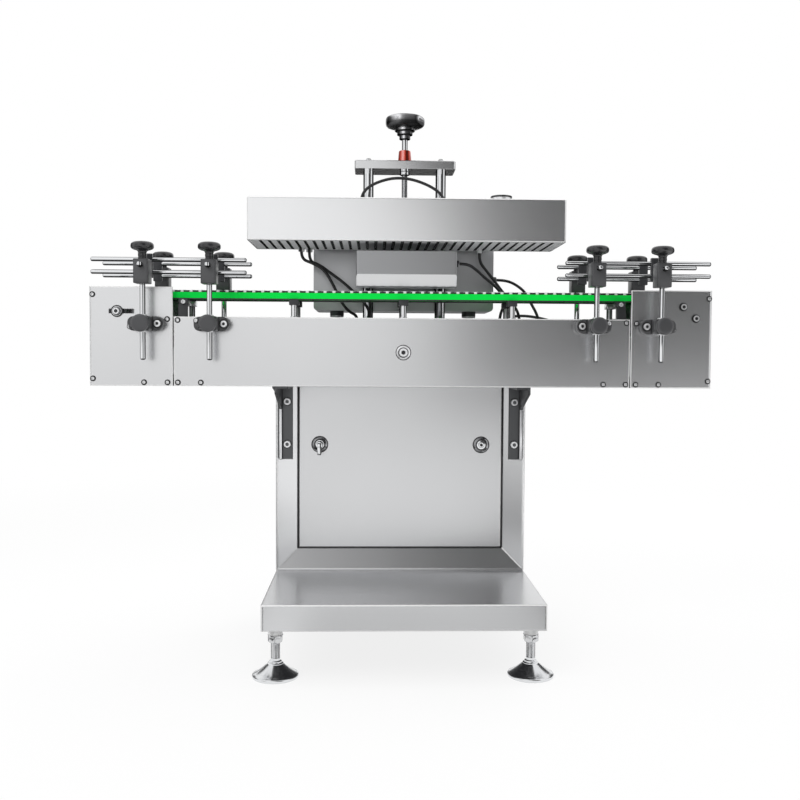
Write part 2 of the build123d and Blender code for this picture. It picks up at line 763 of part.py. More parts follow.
def top_knob_shape(x, y):
    """Turned knob on a stepped neck, with a screw that presses on the cross arm."""
    rod_z(x, y, stem_low, neck_bottom + air, knob_screw)
    rod_z(x, y, neck_bottom + air, knob_low - 6, top_knob_neck)
    rod_z(x, y, knob_low - 6, knob_low, top_knob_neck + 6)
    rim = x + top_knob / 2
    with BuildSketch(Plane.XZ.offset(-y)) as grip:
        with BuildLine():
            Line((x, knob_low), (rim - 2, knob_low))
            Line((rim - 2, knob_low), (rim, knob_low + 2))
            Line((rim, knob_low + 2), (rim, knob_high - 5))
            RadiusArc((rim, knob_high - 5), (rim - 5, knob_high), -5)
            Line((rim - 5, knob_high), (x, knob_high))
            Line((x, knob_high), (x, knob_low))
        make_face()
    revolve(grip.sketch, axis=Axis((x, y, 0), (0, 0, 1)))


for set_name, side_x, side_y in rail_sets:
    with BuildPart() as rail_stand:
        for post_x in (inner_post_x, outer_post_x):
            x = side_x * post_x
            y = across(side_y, post_y)
            with BuildSketch(Plane.XY.offset(cross_block_bottom)) as block_outline:
                with Locations((x, y)):
                    RectangleRounded(cross_block_width, cross_block_depth, 3)
            extrude(block_outline.sketch, amount=cross_block_height)
            rod_z(x, y, post_bottom, post_top, post_diameter)
            rod_y(x, arm_z, *span(side_y, block_near, block_far), arm_diameter + 2 * running,
                  Mode.SUBTRACT)
            rod_z(x, y, arm_z, cross_block_top, knob_screw + 2 * running, Mode.SUBTRACT)
            if side_y > 0:
                top_knob_shape(x, y)
    save(rail_stand, f"{set_name}_rail_stand")

    rail_inner = inner_post_x - (left_rail_inset if side_x < 0 else right_rail_inset)
    rail_outer = outer_post_x + rail_overhang
    rail_low, rail_high = sorted((side_x * rail_inner, side_x * rail_outer))
    with BuildPart() as guide_rail:
        for post_x in (inner_post_x, outer_post_x):
            x = side_x * post_x
            block(x - holder_width / 2, x + holder_width / 2, *span(side_y, holder_near, holder_far),
                  lower_rail_z - holder_margin, upper_rail_z + holder_margin)
            rod_y(x, arm_z, *span(side_y, holder_far, arm_far), arm_diameter)
        for z in (lower_rail_z, upper_rail_z):
            rod_x(across(side_y, rail_y), z, rail_low, rail_high, rail_diameter)
    save(guide_rail, f"{set_name}_guide_rail")

# Top knobs of the front sets
for set_name, side_x, side_y in rail_sets[:2]:
    for post_x, place in ((inner_post_x, "inner"), (outer_post_x, "outer")):
        with BuildPart() as knob:
            top_knob_shape(side_x * post_x, across(side_y, post_y))
        save(knob, f"{set_name}_{place}_knob")

# Guide columns with their foot flanges and the nuts on the top plate
column_places = [(head_x - column_half, column_y), (head_x + column_half, column_y)]
with BuildPart() as guide_columns:
    for x, y in column_places:
        rod_z(x, y, cabinet_top, cabinet_top + 12, column_flange)
        rod_z(x, y, cabinet_top, top_plate_bottom, column_diameter)
        rod_z(x, y, top_plate_bottom, top_plate_top, column_diameter / 2)
        hexagon_z(x, y, top_plate_top, top_plate_top + 8, 19)
save(guide_columns, "guide_columns")

with BuildPart() as top_plate:
    with BuildSketch(Plane.XY.offset(top_plate_bottom)):
        with Locations((head_x, column_y)):
            RectangleRounded(top_plate_width, top_plate_depth, 6)
    extrude(amount=top_plate_thickness)
    chamfer(top_plate.faces().sort_by(Axis.Z)[-1].edges(), length=1.5)
    for x, y in column_places:
        rod_z(x, y, top_plate_bottom, top_plate_top, column_diameter / 2, Mode.SUBTRACT)
    rod_z(head_x, column_y, top_plate_bottom, top_plate_top, screw_diameter + 2 * running,
          Mode.SUBTRACT)
save(top_plate, "top_plate")

# Lead screw, red collar and hand knob turn together
carriage_bottom = head_bottom + 6
carriage_top = carriage_bottom + carriage_height
screw_bottom = carriage_bottom + 4
neck_steps = [(27, 10), (38, 9), (49, 7)]
with BuildPart() as lead_screw:
    rod_z(head_x, column_y, screw_bottom, knob_bottom + 8, screw_diameter)
    rod_z(head_x, column_y, top_plate_bottom - air - 8, top_plate_bottom - air, screw_diameter + 10)
save(lead_screw, "lead_screw")

with BuildPart() as screw_collar:
    rod_z(head_x, column_y, top_plate_top + air, top_plate_top + collar_height, collar_diameter)
    fillet(screw_collar.edges().filter_by(GeomType.CIRCLE), radius=2)
    rod_z(head_x, column_y, top_plate_top, top_plate_top + collar_height, screw_diameter, Mode.SUBTRACT)
save(screw_collar, "screw_collar")

with BuildPart() as hand_knob_piece:
    level = knob_bottom
    for diameter, height in reversed(neck_steps):
        rod_z(head_x, column_y, level - height, level, diameter)
        level -= height
    with BuildSketch(Plane.XZ.offset(-column_y)):
        with BuildLine():
            rim = head_x + hand_knob / 2
            top = knob_bottom + hand_knob_height
            Line((head_x, knob_bottom), (head_x + 26, knob_bottom))
            Spline(
                (head_x + 26, knob_bottom),
                (rim - 4, knob_bottom + 5),
                (rim, knob_bottom + 13),
                (rim - 2, knob_bottom + 23),
                (rim - 11, top - 1),
            )
            Line((rim - 11, top - 1), (head_x + 18, top))
            Line((head_x + 18, top), (head_x, top))
            Line((head_x, top), (head_x, knob_bottom))
        make_face()
    revolve(axis=Axis((head_x, column_y, 0), (0, 0, 1)))
    rod_z(head_x, column_y, level, knob_bottom + 8, screw_diameter, Mode.SUBTRACT)
save(hand_knob_piece, "hand_knob")

# Sealing head: a long cover, closed below by a slotted pan
head_left = head_x - head_width / 2
head_right = head_x + head_width / 2
head_middle_y = (head_front + head_back) / 2
lid_cap_inset = 142
lid_cap_setback = 35
arch_y = cabinet_front + 6
arch_feet = [(-98, arch_y), (100, arch_y)]
grommet = 15
grommet_height = 8
with BuildPart() as head_housing:
    block(head_left, head_right, head_front, head_back, head_bottom, head_top)
    fillet(head_housing.edges().filter_by(Axis.Z), radius=4)
    fillet(head_housing.faces().sort_by(Axis.Z)[-1].edges(), radius=3)
    block(head_left + sheet, head_right - sheet, head_front + sheet, head_back - sheet, head_bottom,
          head_top - sheet, Mode.SUBTRACT)
    # Round cap near the front edge of the lid, and grommets for the arched cable
    rod_z(head_right - lid_cap_inset, head_front + lid_cap_setback, head_top, head_top + 10, 46)
    for x, y in arch_feet:
        rod_z(x, y, head_top, head_top + grommet_height, grommet)
save(head_housing, "head_housing")

grille_places = [
    (-240, cabinet_front + 11),
    (-222, cabinet_front + 23),
    (187, cabinet_front + 17),
]
slot_length = head_depth - 24
with BuildPart() as head_grille:
    block(head_left + sheet, head_right - sheet, head_front + sheet, head_back - sheet, head_bottom,
          head_bottom + sheet)
    with BuildSketch(Plane.XY.offset(head_bottom)):
        with Locations((head_x, head_middle_y)):
            with GridLocations(slot_pitch, 0, slot_count, 1):
                SlotOverall(slot_length, slot_width, rotation=90)
    extrude(amount=sheet, mode=Mode.SUBTRACT)
    for x, y in grille_places:
        rod_z(x, y, head_bottom - grommet_height, head_bottom + sheet, grommet)
save(head_grille, "head_grille")

# Coil box under the head: the coil is potted in its floor, and two arms behind hold it
coil_left = head_x - coil_width / 2
coil_right = head_x + coil_width / 2
coil_front = lane_y - coil_depth / 2
coil_back = lane_y + coil_depth / 2
arm_thickness = 6
arm_low = coil_bottom + 10
arm_high = coil_top - 10
coil_cable_y = lane_y + 22
coil_cable_z = coil_bottom + 57
with BuildPart() as coil_box:
    block(coil_left, coil_right, coil_front, coil_back, coil_bottom, coil_top)
    fillet(coil_box.edges().filter_by(Axis.Z), radius=4)
    # Long slanted edges at the bottom, in front and behind
    for wall, inward in ((coil_front, 1), (coil_back, -1)):
        with BuildSketch(Plane.YZ.offset(coil_left)) as wedge:
            with BuildLine():
                Polyline((wall, coil_bottom), (wall + inward * coil_bevel, coil_bottom),
                         (wall, coil_bottom + coil_bevel_rise), close=True)
            make_face()
        extrude(wedge.sketch, amount=coil_width, mode=Mode.SUBTRACT)
    block(coil_left + coil_wall, coil_right - coil_wall, coil_front + coil_wall,
          coil_back - coil_wall, coil_bottom + coil_potting, coil_top - coil_wall, Mode.SUBTRACT)
    for side in (-1, 1):
        arm_x = head_x + side * (coil_width / 2 - 6)
        low, high = sorted((arm_x, arm_x - side * arm_thickness))
        block(low, high, coil_back, control_front, arm_low, arm_high)
    rod_x(coil_cable_y, coil_cable_z, coil_right, coil_right + 10, grommet)
save(coil_box, "coil_box")

# Lift carriage: bored for the columns and the screw, between the head and the control box
with BuildPart() as lift_carriage:
    block(head_x - carriage_width / 2, head_x + carriage_width / 2, head_back, control_front,
          carriage_bottom, carriage_top)
    chamfer(lift_carriage.edges().filter_by(Axis.X), length=2)
    for x, y in column_places:
        rod_z(x, y, carriage_bottom, carriage_top, column_diameter + 2 * running, Mode.SUBTRACT)
    rod_z(head_x, column_y, carriage_bottom, carriage_top, screw_diameter + 2 * running, Mode.SUBTRACT)
save(lift_carriage, "lift_carriage")

# Control box behind the columns: rounded corners, operator panel on its far side
estop_stem = 22
estop_button = 40
button_gap = 8
speed_stem = 10
speed_skirt = 34
speed_grip = 24
speed_knob_length = 20
window_width = 150
window_height = 70
window_bottom = control_bottom + 130
control_left = head_x - control_width / 2
control_right = head_x + control_width / 2
panel_depth = 4
estop_x = head_x - 150
speed_x = head_x + 40
panel_z = control_bottom + 70
control_cable_y = control_front + 24
control_cable_z = control_bottom + 80
with BuildPart() as control_box:
    with BuildSketch(Plane.XZ.offset(-control_back)):
        with Locations((head_x, (control_bottom + control_top) / 2)):
            RectangleRounded(control_width, control_height, control_corner)
    extrude(amount=control_depth)
    block(control_left + sheet, control_right - sheet, control_front + sheet, control_back - sheet,
          control_bottom + sheet, control_top - sheet, Mode.SUBTRACT)
    # Raised panel plate with a display window
    block(control_left + 16, control_right - 16, control_back, control_back + panel_depth,
          control_bottom + 16, control_top - 16)
    block(head_x - window_width, head_x + 10, control_back + panel_depth,
          control_back + panel_depth + 4, window_bottom, window_bottom + window_height)
    for x, hole in ((estop_x, estop_stem), (speed_x, speed_stem)):
        rod_y(x, panel_z, control_back - sheet - 1, control_back + panel_depth, hole + 2 * running,
              Mode.SUBTRACT)
    # Two dark cable glands look out under the front edge, and one at the right side
    for x in (control_left + 57, control_right - 59):
        rod_z(x, control_front + 20, control_bottom - 15, control_bottom, 34)
    rod_x(control_cable_y, control_cable_z, control_right, control_right + 10, grommet)
save(control_box, "control_box")

# Emergency stop: mushroom button on a stem that travels into the box
panel_face = control_back + panel_depth
with BuildPart() as emergency_stop:
    rod_y(estop_x, panel_z, panel_face - 30, panel_face + button_gap, estop_stem)
    rod_y(estop_x, panel_z, panel_face + button_gap, panel_face + button_gap + 14, estop_button)
    fillet(emergency_stop.edges().filter_by(GeomType.CIRCLE).group_by(Axis.Y)[-1], radius=5)
save(emergency_stop, "emergency_stop")

with BuildPart() as speed_knob:
    rod_y(speed_x, panel_z, panel_face - 16, panel_face + air, speed_stem)
    rod_y(speed_x, panel_z, panel_face + air, panel_face + 3, speed_skirt)
    rod_y(speed_x, panel_z, panel_face + 3, panel_face + speed_knob_length, speed_grip)
    block(speed_x - 1, speed_x + 1, panel_face + speed_knob_length - 2,
          panel_face + speed_knob_length + 1, panel_z, panel_z + speed_grip / 2 - 1)
save(speed_knob, "speed_knob")

# Power unit on the cabinet's rear wall
unit_half = 150
unit_rise = 91
unit_height = 300
unit_depth = 90
fin_depth = 20
fin_gap = 10
fin_pitch = 15
unit_low = base_top + unit_rise
unit_back = cabinet_back - sheet
unit_front = unit_back - unit_depth
with BuildPart() as power_unit:
    block(-unit_half, unit_half, unit_front, unit_back, unit_low, unit_low + unit_height)
    block(-unit_half + sheet, unit_half - sheet, unit_front + fin_depth + sheet, unit_back - sheet,
          unit_low + sheet, unit_low + unit_height - sheet, Mode.SUBTRACT)
    with BuildSketch(Plane.XY.offset(unit_low)):
        with Locations((0, unit_front + fin_depth / 2)):
            with GridLocations(fin_pitch, 0, 18, 1):
                Rectangle(fin_gap, fin_depth)
    extrude(amount=unit_height, mode=Mode.SUBTRACT)
save(power_unit, "power_unit")

# Glands on the cabinet: five on top, one on the right side, and the mains gland on the left
gland_height = 14
gland_diameter = 18
gland_tops = [
    (-104, cabinet_front + 21),
    (-74, cabinet_front + 21),
    (236, cabinet_front + 13),
    (288, cabinet_front + 26),
    (262, cabinet_front + 47),
]
side_gland_setback = 61
side_gland_y = cabinet_front + side_gland_setback
side_gland_z = cabinet_top - 25
side_gland_length = 12
inlet_setback = 50
inlet_rise = 81
inlet_y = cabinet_back - inlet_setback
inlet_z = base_top + inlet_rise
with BuildPart() as cable_glands:
    for x, y in gland_tops:
        rod_z(x, y, cabinet_top, cabinet_top + 8, gland_diameter)
        rod_z(x, y, cabinet_top + 8, cabinet_top + gland_height, gland_diameter - 5)
    rod_x(side_gland_y, side_gland_z, base_width / 2, base_width / 2 + side_gland_length, gland_diameter)
    # Gland of the mains lead low on the left side
    rod_x(inlet_y, inlet_z, -base_width / 2 - gland_height, -base_width / 2, gland_diameter + 6)
save(cable_glands, "cable_glands")

# Cables: chosen points of each route, from its upper or moving end to its fixed end
# Their Y is measured from the cabinet's front
gland_top = cabinet_top + gland_height
coil_cable_back = coil_cable_y - cabinet_front
control_cable_back = control_cable_y - cabinet_front
terminal_back = terminal_y - cabinet_front
motor_run = motor_gland_x - 262
cable_routes = {
    "arch_cable": [
        (-98, 6, head_top + grommet_height), (-98, 6, 1067), (-85, 6, 1087), (-62, 6, 1100),
        (-34, 6, 1109), (-9, 6, 1112), (23, 6, 1109), (56, 6, 1098), (82, 6, 1084),
        (100, 6, 1066), (100, 6, head_top + grommet_height),
    ],
    "left_outer_cable": [
        (-240, 11, head_bottom - grommet_height), (-240, 11, 918), (-212, 9, 908), (-184, 7, 892),
        (-162, 5, 854), (-147, 5, 820), (-128, 9, 794), (-104, 21, 784), (-104, 21, gland_top),
    ],
    "left_inner_cable": [
        (-222, 23, head_bottom - grommet_height), (-222, 23, 914), (-198, 21, 906), (-172, 19, 887),
        (-140, 17, 864), (-116, 15, 842), (-92, 16, 820), (-74, 21, 790), (-74, 21, gland_top),
    ],
    "coil_cable": [
        (coil_right + 10, coil_cable_back, coil_cable_z), (152, coil_cable_back, coil_cable_z),
        (173, -41, 892), (193, -21, 877), (216, -7, 862), (238, 1, 842), (247, 7, 812),
        (236, 13, 784), (236, 13, gland_top),
    ],
    "right_outer_cable": [
        (187, 17, head_bottom - grommet_height), (187, 17, 916), (203, 17, 896), (222, 18, 873),
        (248, 20, 839), (274, 23, 812), (288, 26, 784), (288, 26, gland_top),
    ],
    "control_cable": [
        (control_right + 10, control_cable_back, control_cable_z),
        (262, control_cable_back, control_cable_z),
        (285, 85, 868), (307, 69, 848), (319, 55, 820), (335, 49, 790), (342, 51, 758), (340, 59, 732),
        (334, side_gland_setback, side_gland_z),
        (base_width / 2 + side_gland_length, side_gland_setback, side_gland_z),
    ],
    "motor_cable": [
        (motor_gland_x, terminal_back, shaft_z), (262 + 0.922 * motor_run, terminal_back, shaft_z),
        (262 + 0.812 * motor_run, 153, 779), (262 + 0.675 * motor_run, 138, 771),
        (262 + 0.532 * motor_run, 121, 769), (262 + 0.396 * motor_run, 103, 777),
        (262 + 0.26 * motor_run, 87, 786), (262 + 0.13 * motor_run, 71, 790),
        (262, 47, 785), (262, 47, gland_top),
    ],
}


def corner_radii(points):
    """Radius of the arc at each corner: as large as its two runs allow."""
    places = [Vector(*point) for point in points]
    radii = []
    for before, corner, after in zip(places, places[1:], places[2:]):
        turn = (corner - before).get_angle(after - corner)
        shorter = min((corner - before).length, (after - corner).length)
        radii.append(0.45 * shorter / tan(radians(turn / 2)))
    return radii


for cable_name, stations in cable_routes.items():
    points = [(x, cabinet_front + y, z) for x, y, z in stations]
    radii = corner_radii(points)
    with BuildPart() as cable_tube:
        with BuildLine() as route:
            FilletPolyline(*points, radius=radii)
        with BuildSketch(Plane(origin=route.line @ 0, z_dir=route.line % 0)):
            Circle(cable / 2)
        sweep()
    cable_length = route.wire().length
    expected = pi * (cable / 2) ** 2 * cable_length
    print(f"{cable_name}: length {cable_length:.0f}, radii {[round(radius) for radius in radii]},",
          f"volume {cable_tube.part.volume / expected:.4f} of section times length")
    save(cable_tube, cable_name)
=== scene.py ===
import bmesh
import bpy
import numpy as np
from mathutils import Matrix, Vector


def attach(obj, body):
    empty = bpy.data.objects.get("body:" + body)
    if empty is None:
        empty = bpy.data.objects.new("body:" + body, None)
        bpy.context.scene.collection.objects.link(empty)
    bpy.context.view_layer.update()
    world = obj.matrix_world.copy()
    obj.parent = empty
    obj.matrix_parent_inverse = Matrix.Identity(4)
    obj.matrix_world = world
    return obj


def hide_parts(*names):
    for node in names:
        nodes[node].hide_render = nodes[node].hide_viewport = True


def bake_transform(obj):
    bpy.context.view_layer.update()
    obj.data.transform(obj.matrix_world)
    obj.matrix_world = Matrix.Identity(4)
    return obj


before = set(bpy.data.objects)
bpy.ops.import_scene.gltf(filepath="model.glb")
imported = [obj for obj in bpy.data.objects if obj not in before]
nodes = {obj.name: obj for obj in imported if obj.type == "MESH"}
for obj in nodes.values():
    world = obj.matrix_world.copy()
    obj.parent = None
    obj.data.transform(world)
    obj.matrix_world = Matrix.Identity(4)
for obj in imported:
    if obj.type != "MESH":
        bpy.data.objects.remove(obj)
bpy.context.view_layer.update()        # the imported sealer: its CAD nodes stay where they are
print("frame loaded:", len(nodes), "nodes")

tau = 2 * np.pi
laneY = -62              # middle of the chain; shapes are in millimetres, the rest in metres


def intoScene(name, data):
    # a new object of that name, linked to the scene
    made = bpy.data.objects.new(name, data)
    bpy.context.scene.collection.objects.link(made)
    return made


# camera, placed where the photograph was taken from: metres, degrees, pixels and millimetres of sensor
cameraSet = dict(place=(-0.0705, -2.2614, 0.6842), yaw=1.70, pitch=2.554, roll=0.33,
                 focal=950.86, pixels=800, sensor=36)


def aimCamera(s):
    # forward comes from yaw and pitch; right and up are then turned by the roll
    yaw, pitch, roll = (np.radians(s[key]) for key in ("yaw", "pitch", "roll"))
    forward = np.array([np.sin(yaw) * np.cos(pitch), np.cos(yaw) * np.cos(pitch), -np.sin(pitch)])
    flat = np.array([np.cos(yaw), -np.sin(yaw), 0])
    upright = np.cross(flat, forward)
    right = np.cos(roll) * flat + np.sin(roll) * upright
    up = np.cos(roll) * upright - np.sin(roll) * flat
    turn = Matrix(np.stack([right, up, -forward], 1).tolist()).to_4x4()
    data = bpy.data.cameras.new("camera")
    data.sensor_width = s["sensor"]
    data.lens = s["focal"] / s["pixels"] * s["sensor"]
    eye = intoScene("camera", data)
    eye.matrix_world = Matrix.Translation(s["place"]) @ turn
    bpy.context.scene.camera = eye


aimCamera(cameraSet)
bpy.context.scene.view_settings.view_transform = "Standard"
print("camera set")


def grey(value):
    # linear grey, opaque
    return (value, value, value, 1)


class Wire:
    # an output of a node: plain expressions on it add their Math nodes
    def __init__(self, finish, socket):
        self.finish = finish
        self.socket = socket

    def maths(self, operation, *values):
        return self.finish.add("Math", {"operation": operation}, dict(enumerate(values)))

    def __add__(self, other):
        return self.maths("ADD", self, other)

    def __radd__(self, other):
        return self.maths("ADD", other, self)

    def __sub__(self, other):
        return self.maths("SUBTRACT", self, other)

    def __rsub__(self, other):
        return self.maths("SUBTRACT", other, self)

    def __mul__(self, other):
        return self.maths("MULTIPLY", self, other)

    def __rmul__(self, other):
        return self.maths("MULTIPLY", other, self)

    def __lt__(self, other):
        return self.maths("LESS_THAN", self, other)

    def __gt__(self, other):
        return self.maths("GREATER_THAN", self, other)

    def __abs__(self):
        return self.maths("ABSOLUTE", self)


class Finish:
    # one material, or the world, with its nodes
    def __init__(self, owner):
        self.owner = owner
        owner.use_nodes = True
        self.tree = owner.node_tree
        self.tree.nodes.clear()

    def add(self, kind, settings=None, sockets=None, output=0):
        made = self.tree.nodes.new("ShaderNode" + kind)
        for field, value in (settings or {}).items():
            if field == "stops":
                ramp = made.color_ramp
                for place, shade in value[1:-1]:
                    ramp.elements.new(place)
                ramp.elements[0].position = value[0][0]
                ramp.elements[-1].position = value[-1][0]
                for stop, (place, shade) in zip(ramp.elements, value):
                    stop.color = grey(shade)
            else:
                setattr(made, field, value)
        for place, value in (sockets or {}).items():
            if isinstance(value, Wire):
                self.tree.links.new(value.socket, made.inputs[place])
            else:
                made.inputs[place].default_value = value
        return Wire(self, made.outputs[output]) if made.outputs else made


def noise(finish, scale, detail, softness=0.5):
    # noise on Object coordinates, its scale per metre given for each axis or once for all
    place = finish.add("TexCoord", output="Object")
    stretch = scale if isinstance(scale, tuple) else (scale,) * 3
    spread = finish.add("Mapping", None, {"Vector": place, "Scale": stretch})
    sockets = {"Vector": spread, "Scale": 1.0, "Detail": detail, "Roughness": softness}
    return finish.add("TexNoise", None, sockets)


def mixed(finish, share, first, second, way="MIX"):
    # the first colour where the share is 0, the second where it is 1
    return finish.add("Mix", {"data_type": "RGBA", "blend_type": way}, {0: share, 6: first, 7: second}, 2)


def partOf(finish, source, axis):
    # one axis of the piece's own coordinates ("Object") or of its surface direction ("Normal")
    return finish.add("SeparateXYZ", None, {0: finish.add("TexCoord", output=source)}, axis)


def stripes(finish, axis, stops):
    # painted light and shade by the direction of the surface: the ramp's 0 looks against the axis, 0.5 across
    # it, 1 along it
    return finish.add("ValToRGB", {"stops": stops}, {"Fac": partOf(finish, "Normal", axis) * 0.5 + 0.5})


def hemMask(finish, s):
    # 1 on faces that look along Y, where Z or the distance in X from the middle is outside its two limits:
    # there edge highlights are painted
    away = {"X": abs(partOf(finish, "Object", "X") - s["middle"]), "Z": partOf(finish, "Object", "Z")}
    mask = 0.0
    for axis, (low, high) in s["hem"].items():
        for outside in (away[axis] < low, away[axis] > high):
            mask = outside.maths("MAXIMUM", outside, mask)
    return mask * (abs(partOf(finish, "Normal", "Y")) > 0.5)


def slotMask(finish, s):
    # 1 over each slot and a rim round it, where shade is painted: distance from the nearest slot's middle,
    # within the slots' length
    step = (partOf(finish, "Object", "X") - s["middle"]) * (1 / s["pitch"])
    slim = abs(step.maths("FRACT", step) - 0.5) < s["half"] / s["pitch"]
    within = abs(step) < s["count"] / 2
    inside = abs(partOf(finish, "Object", "Y") - s["centre"]) < s["long"] / 2
    return slim * within * inside


# what a finish is where it doesn't say otherwise
plain = dict(metal=0.0, detail=3, shades=(0.93, 1.05), drift=(3.1, 3.4, 2.7), grainRough=0.08,
             driftRough=0.08, bump=0.1, depth=0.00004, coat=0.0, coatRough=0.08, specular=0.5, edgeTint=1.0,
             bands=(), middle=0.0, below=-0.3, rimFrom=0.99, rimTo=0.93, slotShade=0.004, hemDull=0.85)


def makeFinish(name, own):
    # base colour drifts between two shades, roughness follows the fine grain and the broad drift
    s = {**plain, **own}
    finish = Finish(bpy.data.materials.new(name))
    grain = noise(finish, s["grain"], s["detail"])
    drift = noise(finish, s["drift"], 2)
    shades = [tuple(channel * factor for channel in s["colour"]) + (1,) for factor in s["shades"]]
    colour = mixed(finish, drift, *shades)
    if "speck" in s:
        # pale wear where a coarse noise peaks
        scale, stops, pale = s["speck"]
        worn = finish.add("ValToRGB", {"stops": stops}, {"Fac": noise(finish, scale, 4, 0.7)})
        colour = mixed(finish, worn, colour, pale + (1,))
    if "under" in s:
        # faces that look down take the under colour: painted shade where it is dark, as on the base, and
        # painted reflected light where it is pale, as on the top plate and coil box
        colour = mixed(finish, partOf(finish, "Normal", "Z") < s["below"], colour, s["under"] + (1,))
    if "rim" in s:
        # along edges the softened normal leaves the true one: there the rim colour is painted, a highlight
        # where it is pale and shade where it is dark
        softened = finish.add("Bevel", {"samples": 4}, {"Radius": s["rimWidth"]})
        true = finish.add("NewGeometry", output="True Normal")
        alike = finish.add("VectorMath", {"operation": "DOT_PRODUCT"}, {0: softened, 1: true}, "Value")
        limits = {"From Min": s["rimFrom"], "From Max": s["rimTo"]}
        edge = finish.add("MapRange", None, {"Value": alike, **limits})
        colour = mixed(finish, edge, colour, s["rim"] + (1,))
    metal = s["metal"]
    for axis, stops in s["bands"]:
        # polished bars, screws and knobs: dark and bright stripes are painted reflections of what they
        # mirror; dark stripes also lose their metal
        stripe = stripes(finish, axis, stops)
        colour = mixed(finish, 1.0, colour, stripe, "MULTIPLY")
        metal = metal * stripe
    if "paintedShine" in s:
        # painted highlights: pale stripes of reflected light
        colour = mixed(finish, stripes(finish, "X", s["paintedShine"]), colour, grey(1))
    if "slots" in s:
        # painted shade over the slots and their rims, with no metal there
        dark = slotMask(finish, s["slots"])
        colour = mixed(finish, dark, colour, grey(s["slotShade"]))
        metal = metal * (1 - dark)
    if "hem" in s:
        # painted highlights along the edges of folded sheet, white and less of a mirror than the rest
        hem = hemMask(finish, s)
        colour = mixed(finish, hem, colour, grey(1))
        metal = metal * (1 - hem * s["hemDull"])
    rough = s["rough"] + (grain - 0.5) * s["grainRough"] + (drift - 0.5) * s["driftRough"]
    sockets = {"Height": grain, "Strength": s["bump"], "Distance": s["depth"]}
    if "edge" in s:
        sockets["Normal"] = finish.add("Bevel", {"samples": 4}, {"Radius": s["edge"]})
    relief = finish.add("Bump", None, sockets)
    shader = finish.add("BsdfPrincipled", None, {
        "Base Color": colour, "Roughness": rough, "Metallic": metal, "Normal": relief,
        "Specular Tint": grey(s["edgeTint"]), "Specular IOR Level": s["specular"],
        "Coat Weight": s["coat"], "Coat Roughness": s["coatRough"]})
    finish.add("OutputMaterial", None, {"Surface": shader})
    return finish.owner


# painted reflections of polished parts, as stripes: upright ones by X, level ones by Z; each stop is a place
# and a brightness
barReflections = [
    ("X", [(0, 1), (0.012, 1), (0.02, 0.02), (0.12, 0.02), (0.18, 1), (0.55, 1), (0.6, 0.1), (0.7, 0.1),
           (0.75, 1), (0.83, 1), (0.88, 0.02), (0.98, 0.02), (0.988, 1), (1, 1)]),
    ("Z", [(0, 0.04), (0.25, 0.04), (0.32, 1), (0.85, 1), (0.9, 0.05), (0.98, 0.05), (0.995, 1), (1, 1)])]
gripReflections = [
    ("X", [(0, 0.1), (0.1, 0.02), (0.16, 0.1), (0.22, 0.75), (0.28, 1), (0.34, 0.9), (0.42, 0.4), (0.55, 0.2),
           (0.74, 0.03), (0.8, 0.3), (0.85, 1), (1, 1)]),
    ("Z", [(0, 0.08), (0.4, 0.2), (0.52, 1), (1, 1)])]
neckReflections = [
    ("X", [(0, 1), (0.012, 1), (0.02, 0.02), (0.15, 0.05), (0.25, 0.4), (0.36, 1), (0.46, 0.7), (0.55, 0.12),
           (0.78, 0.03), (0.86, 0.2), (0.91, 0.9), (1, 0.9)]),
    ("Z", [(0, 0.02), (0.34, 0.02), (0.44, 1), (1, 1)])]
collarReflections = [
    ("X", [(0, 0.3), (0.12, 0.35), (0.25, 1), (0.48, 1), (0.6, 0.12), (0.74, 0.12), (0.86, 1), (1, 1)])]
screwReflections = [(axis, [(0, 0.03), (0.22, 0.05), (0.34, 1), (0.66, 1), (0.78, 0.05), (1, 0.03)])
                for axis in "XZ"]
collarHighlights = [(0, 0), (0.16, 0), (0.34, 0.4), (0.5, 0), (0.82, 0), (0.92, 0.3), (1, 0.3)]
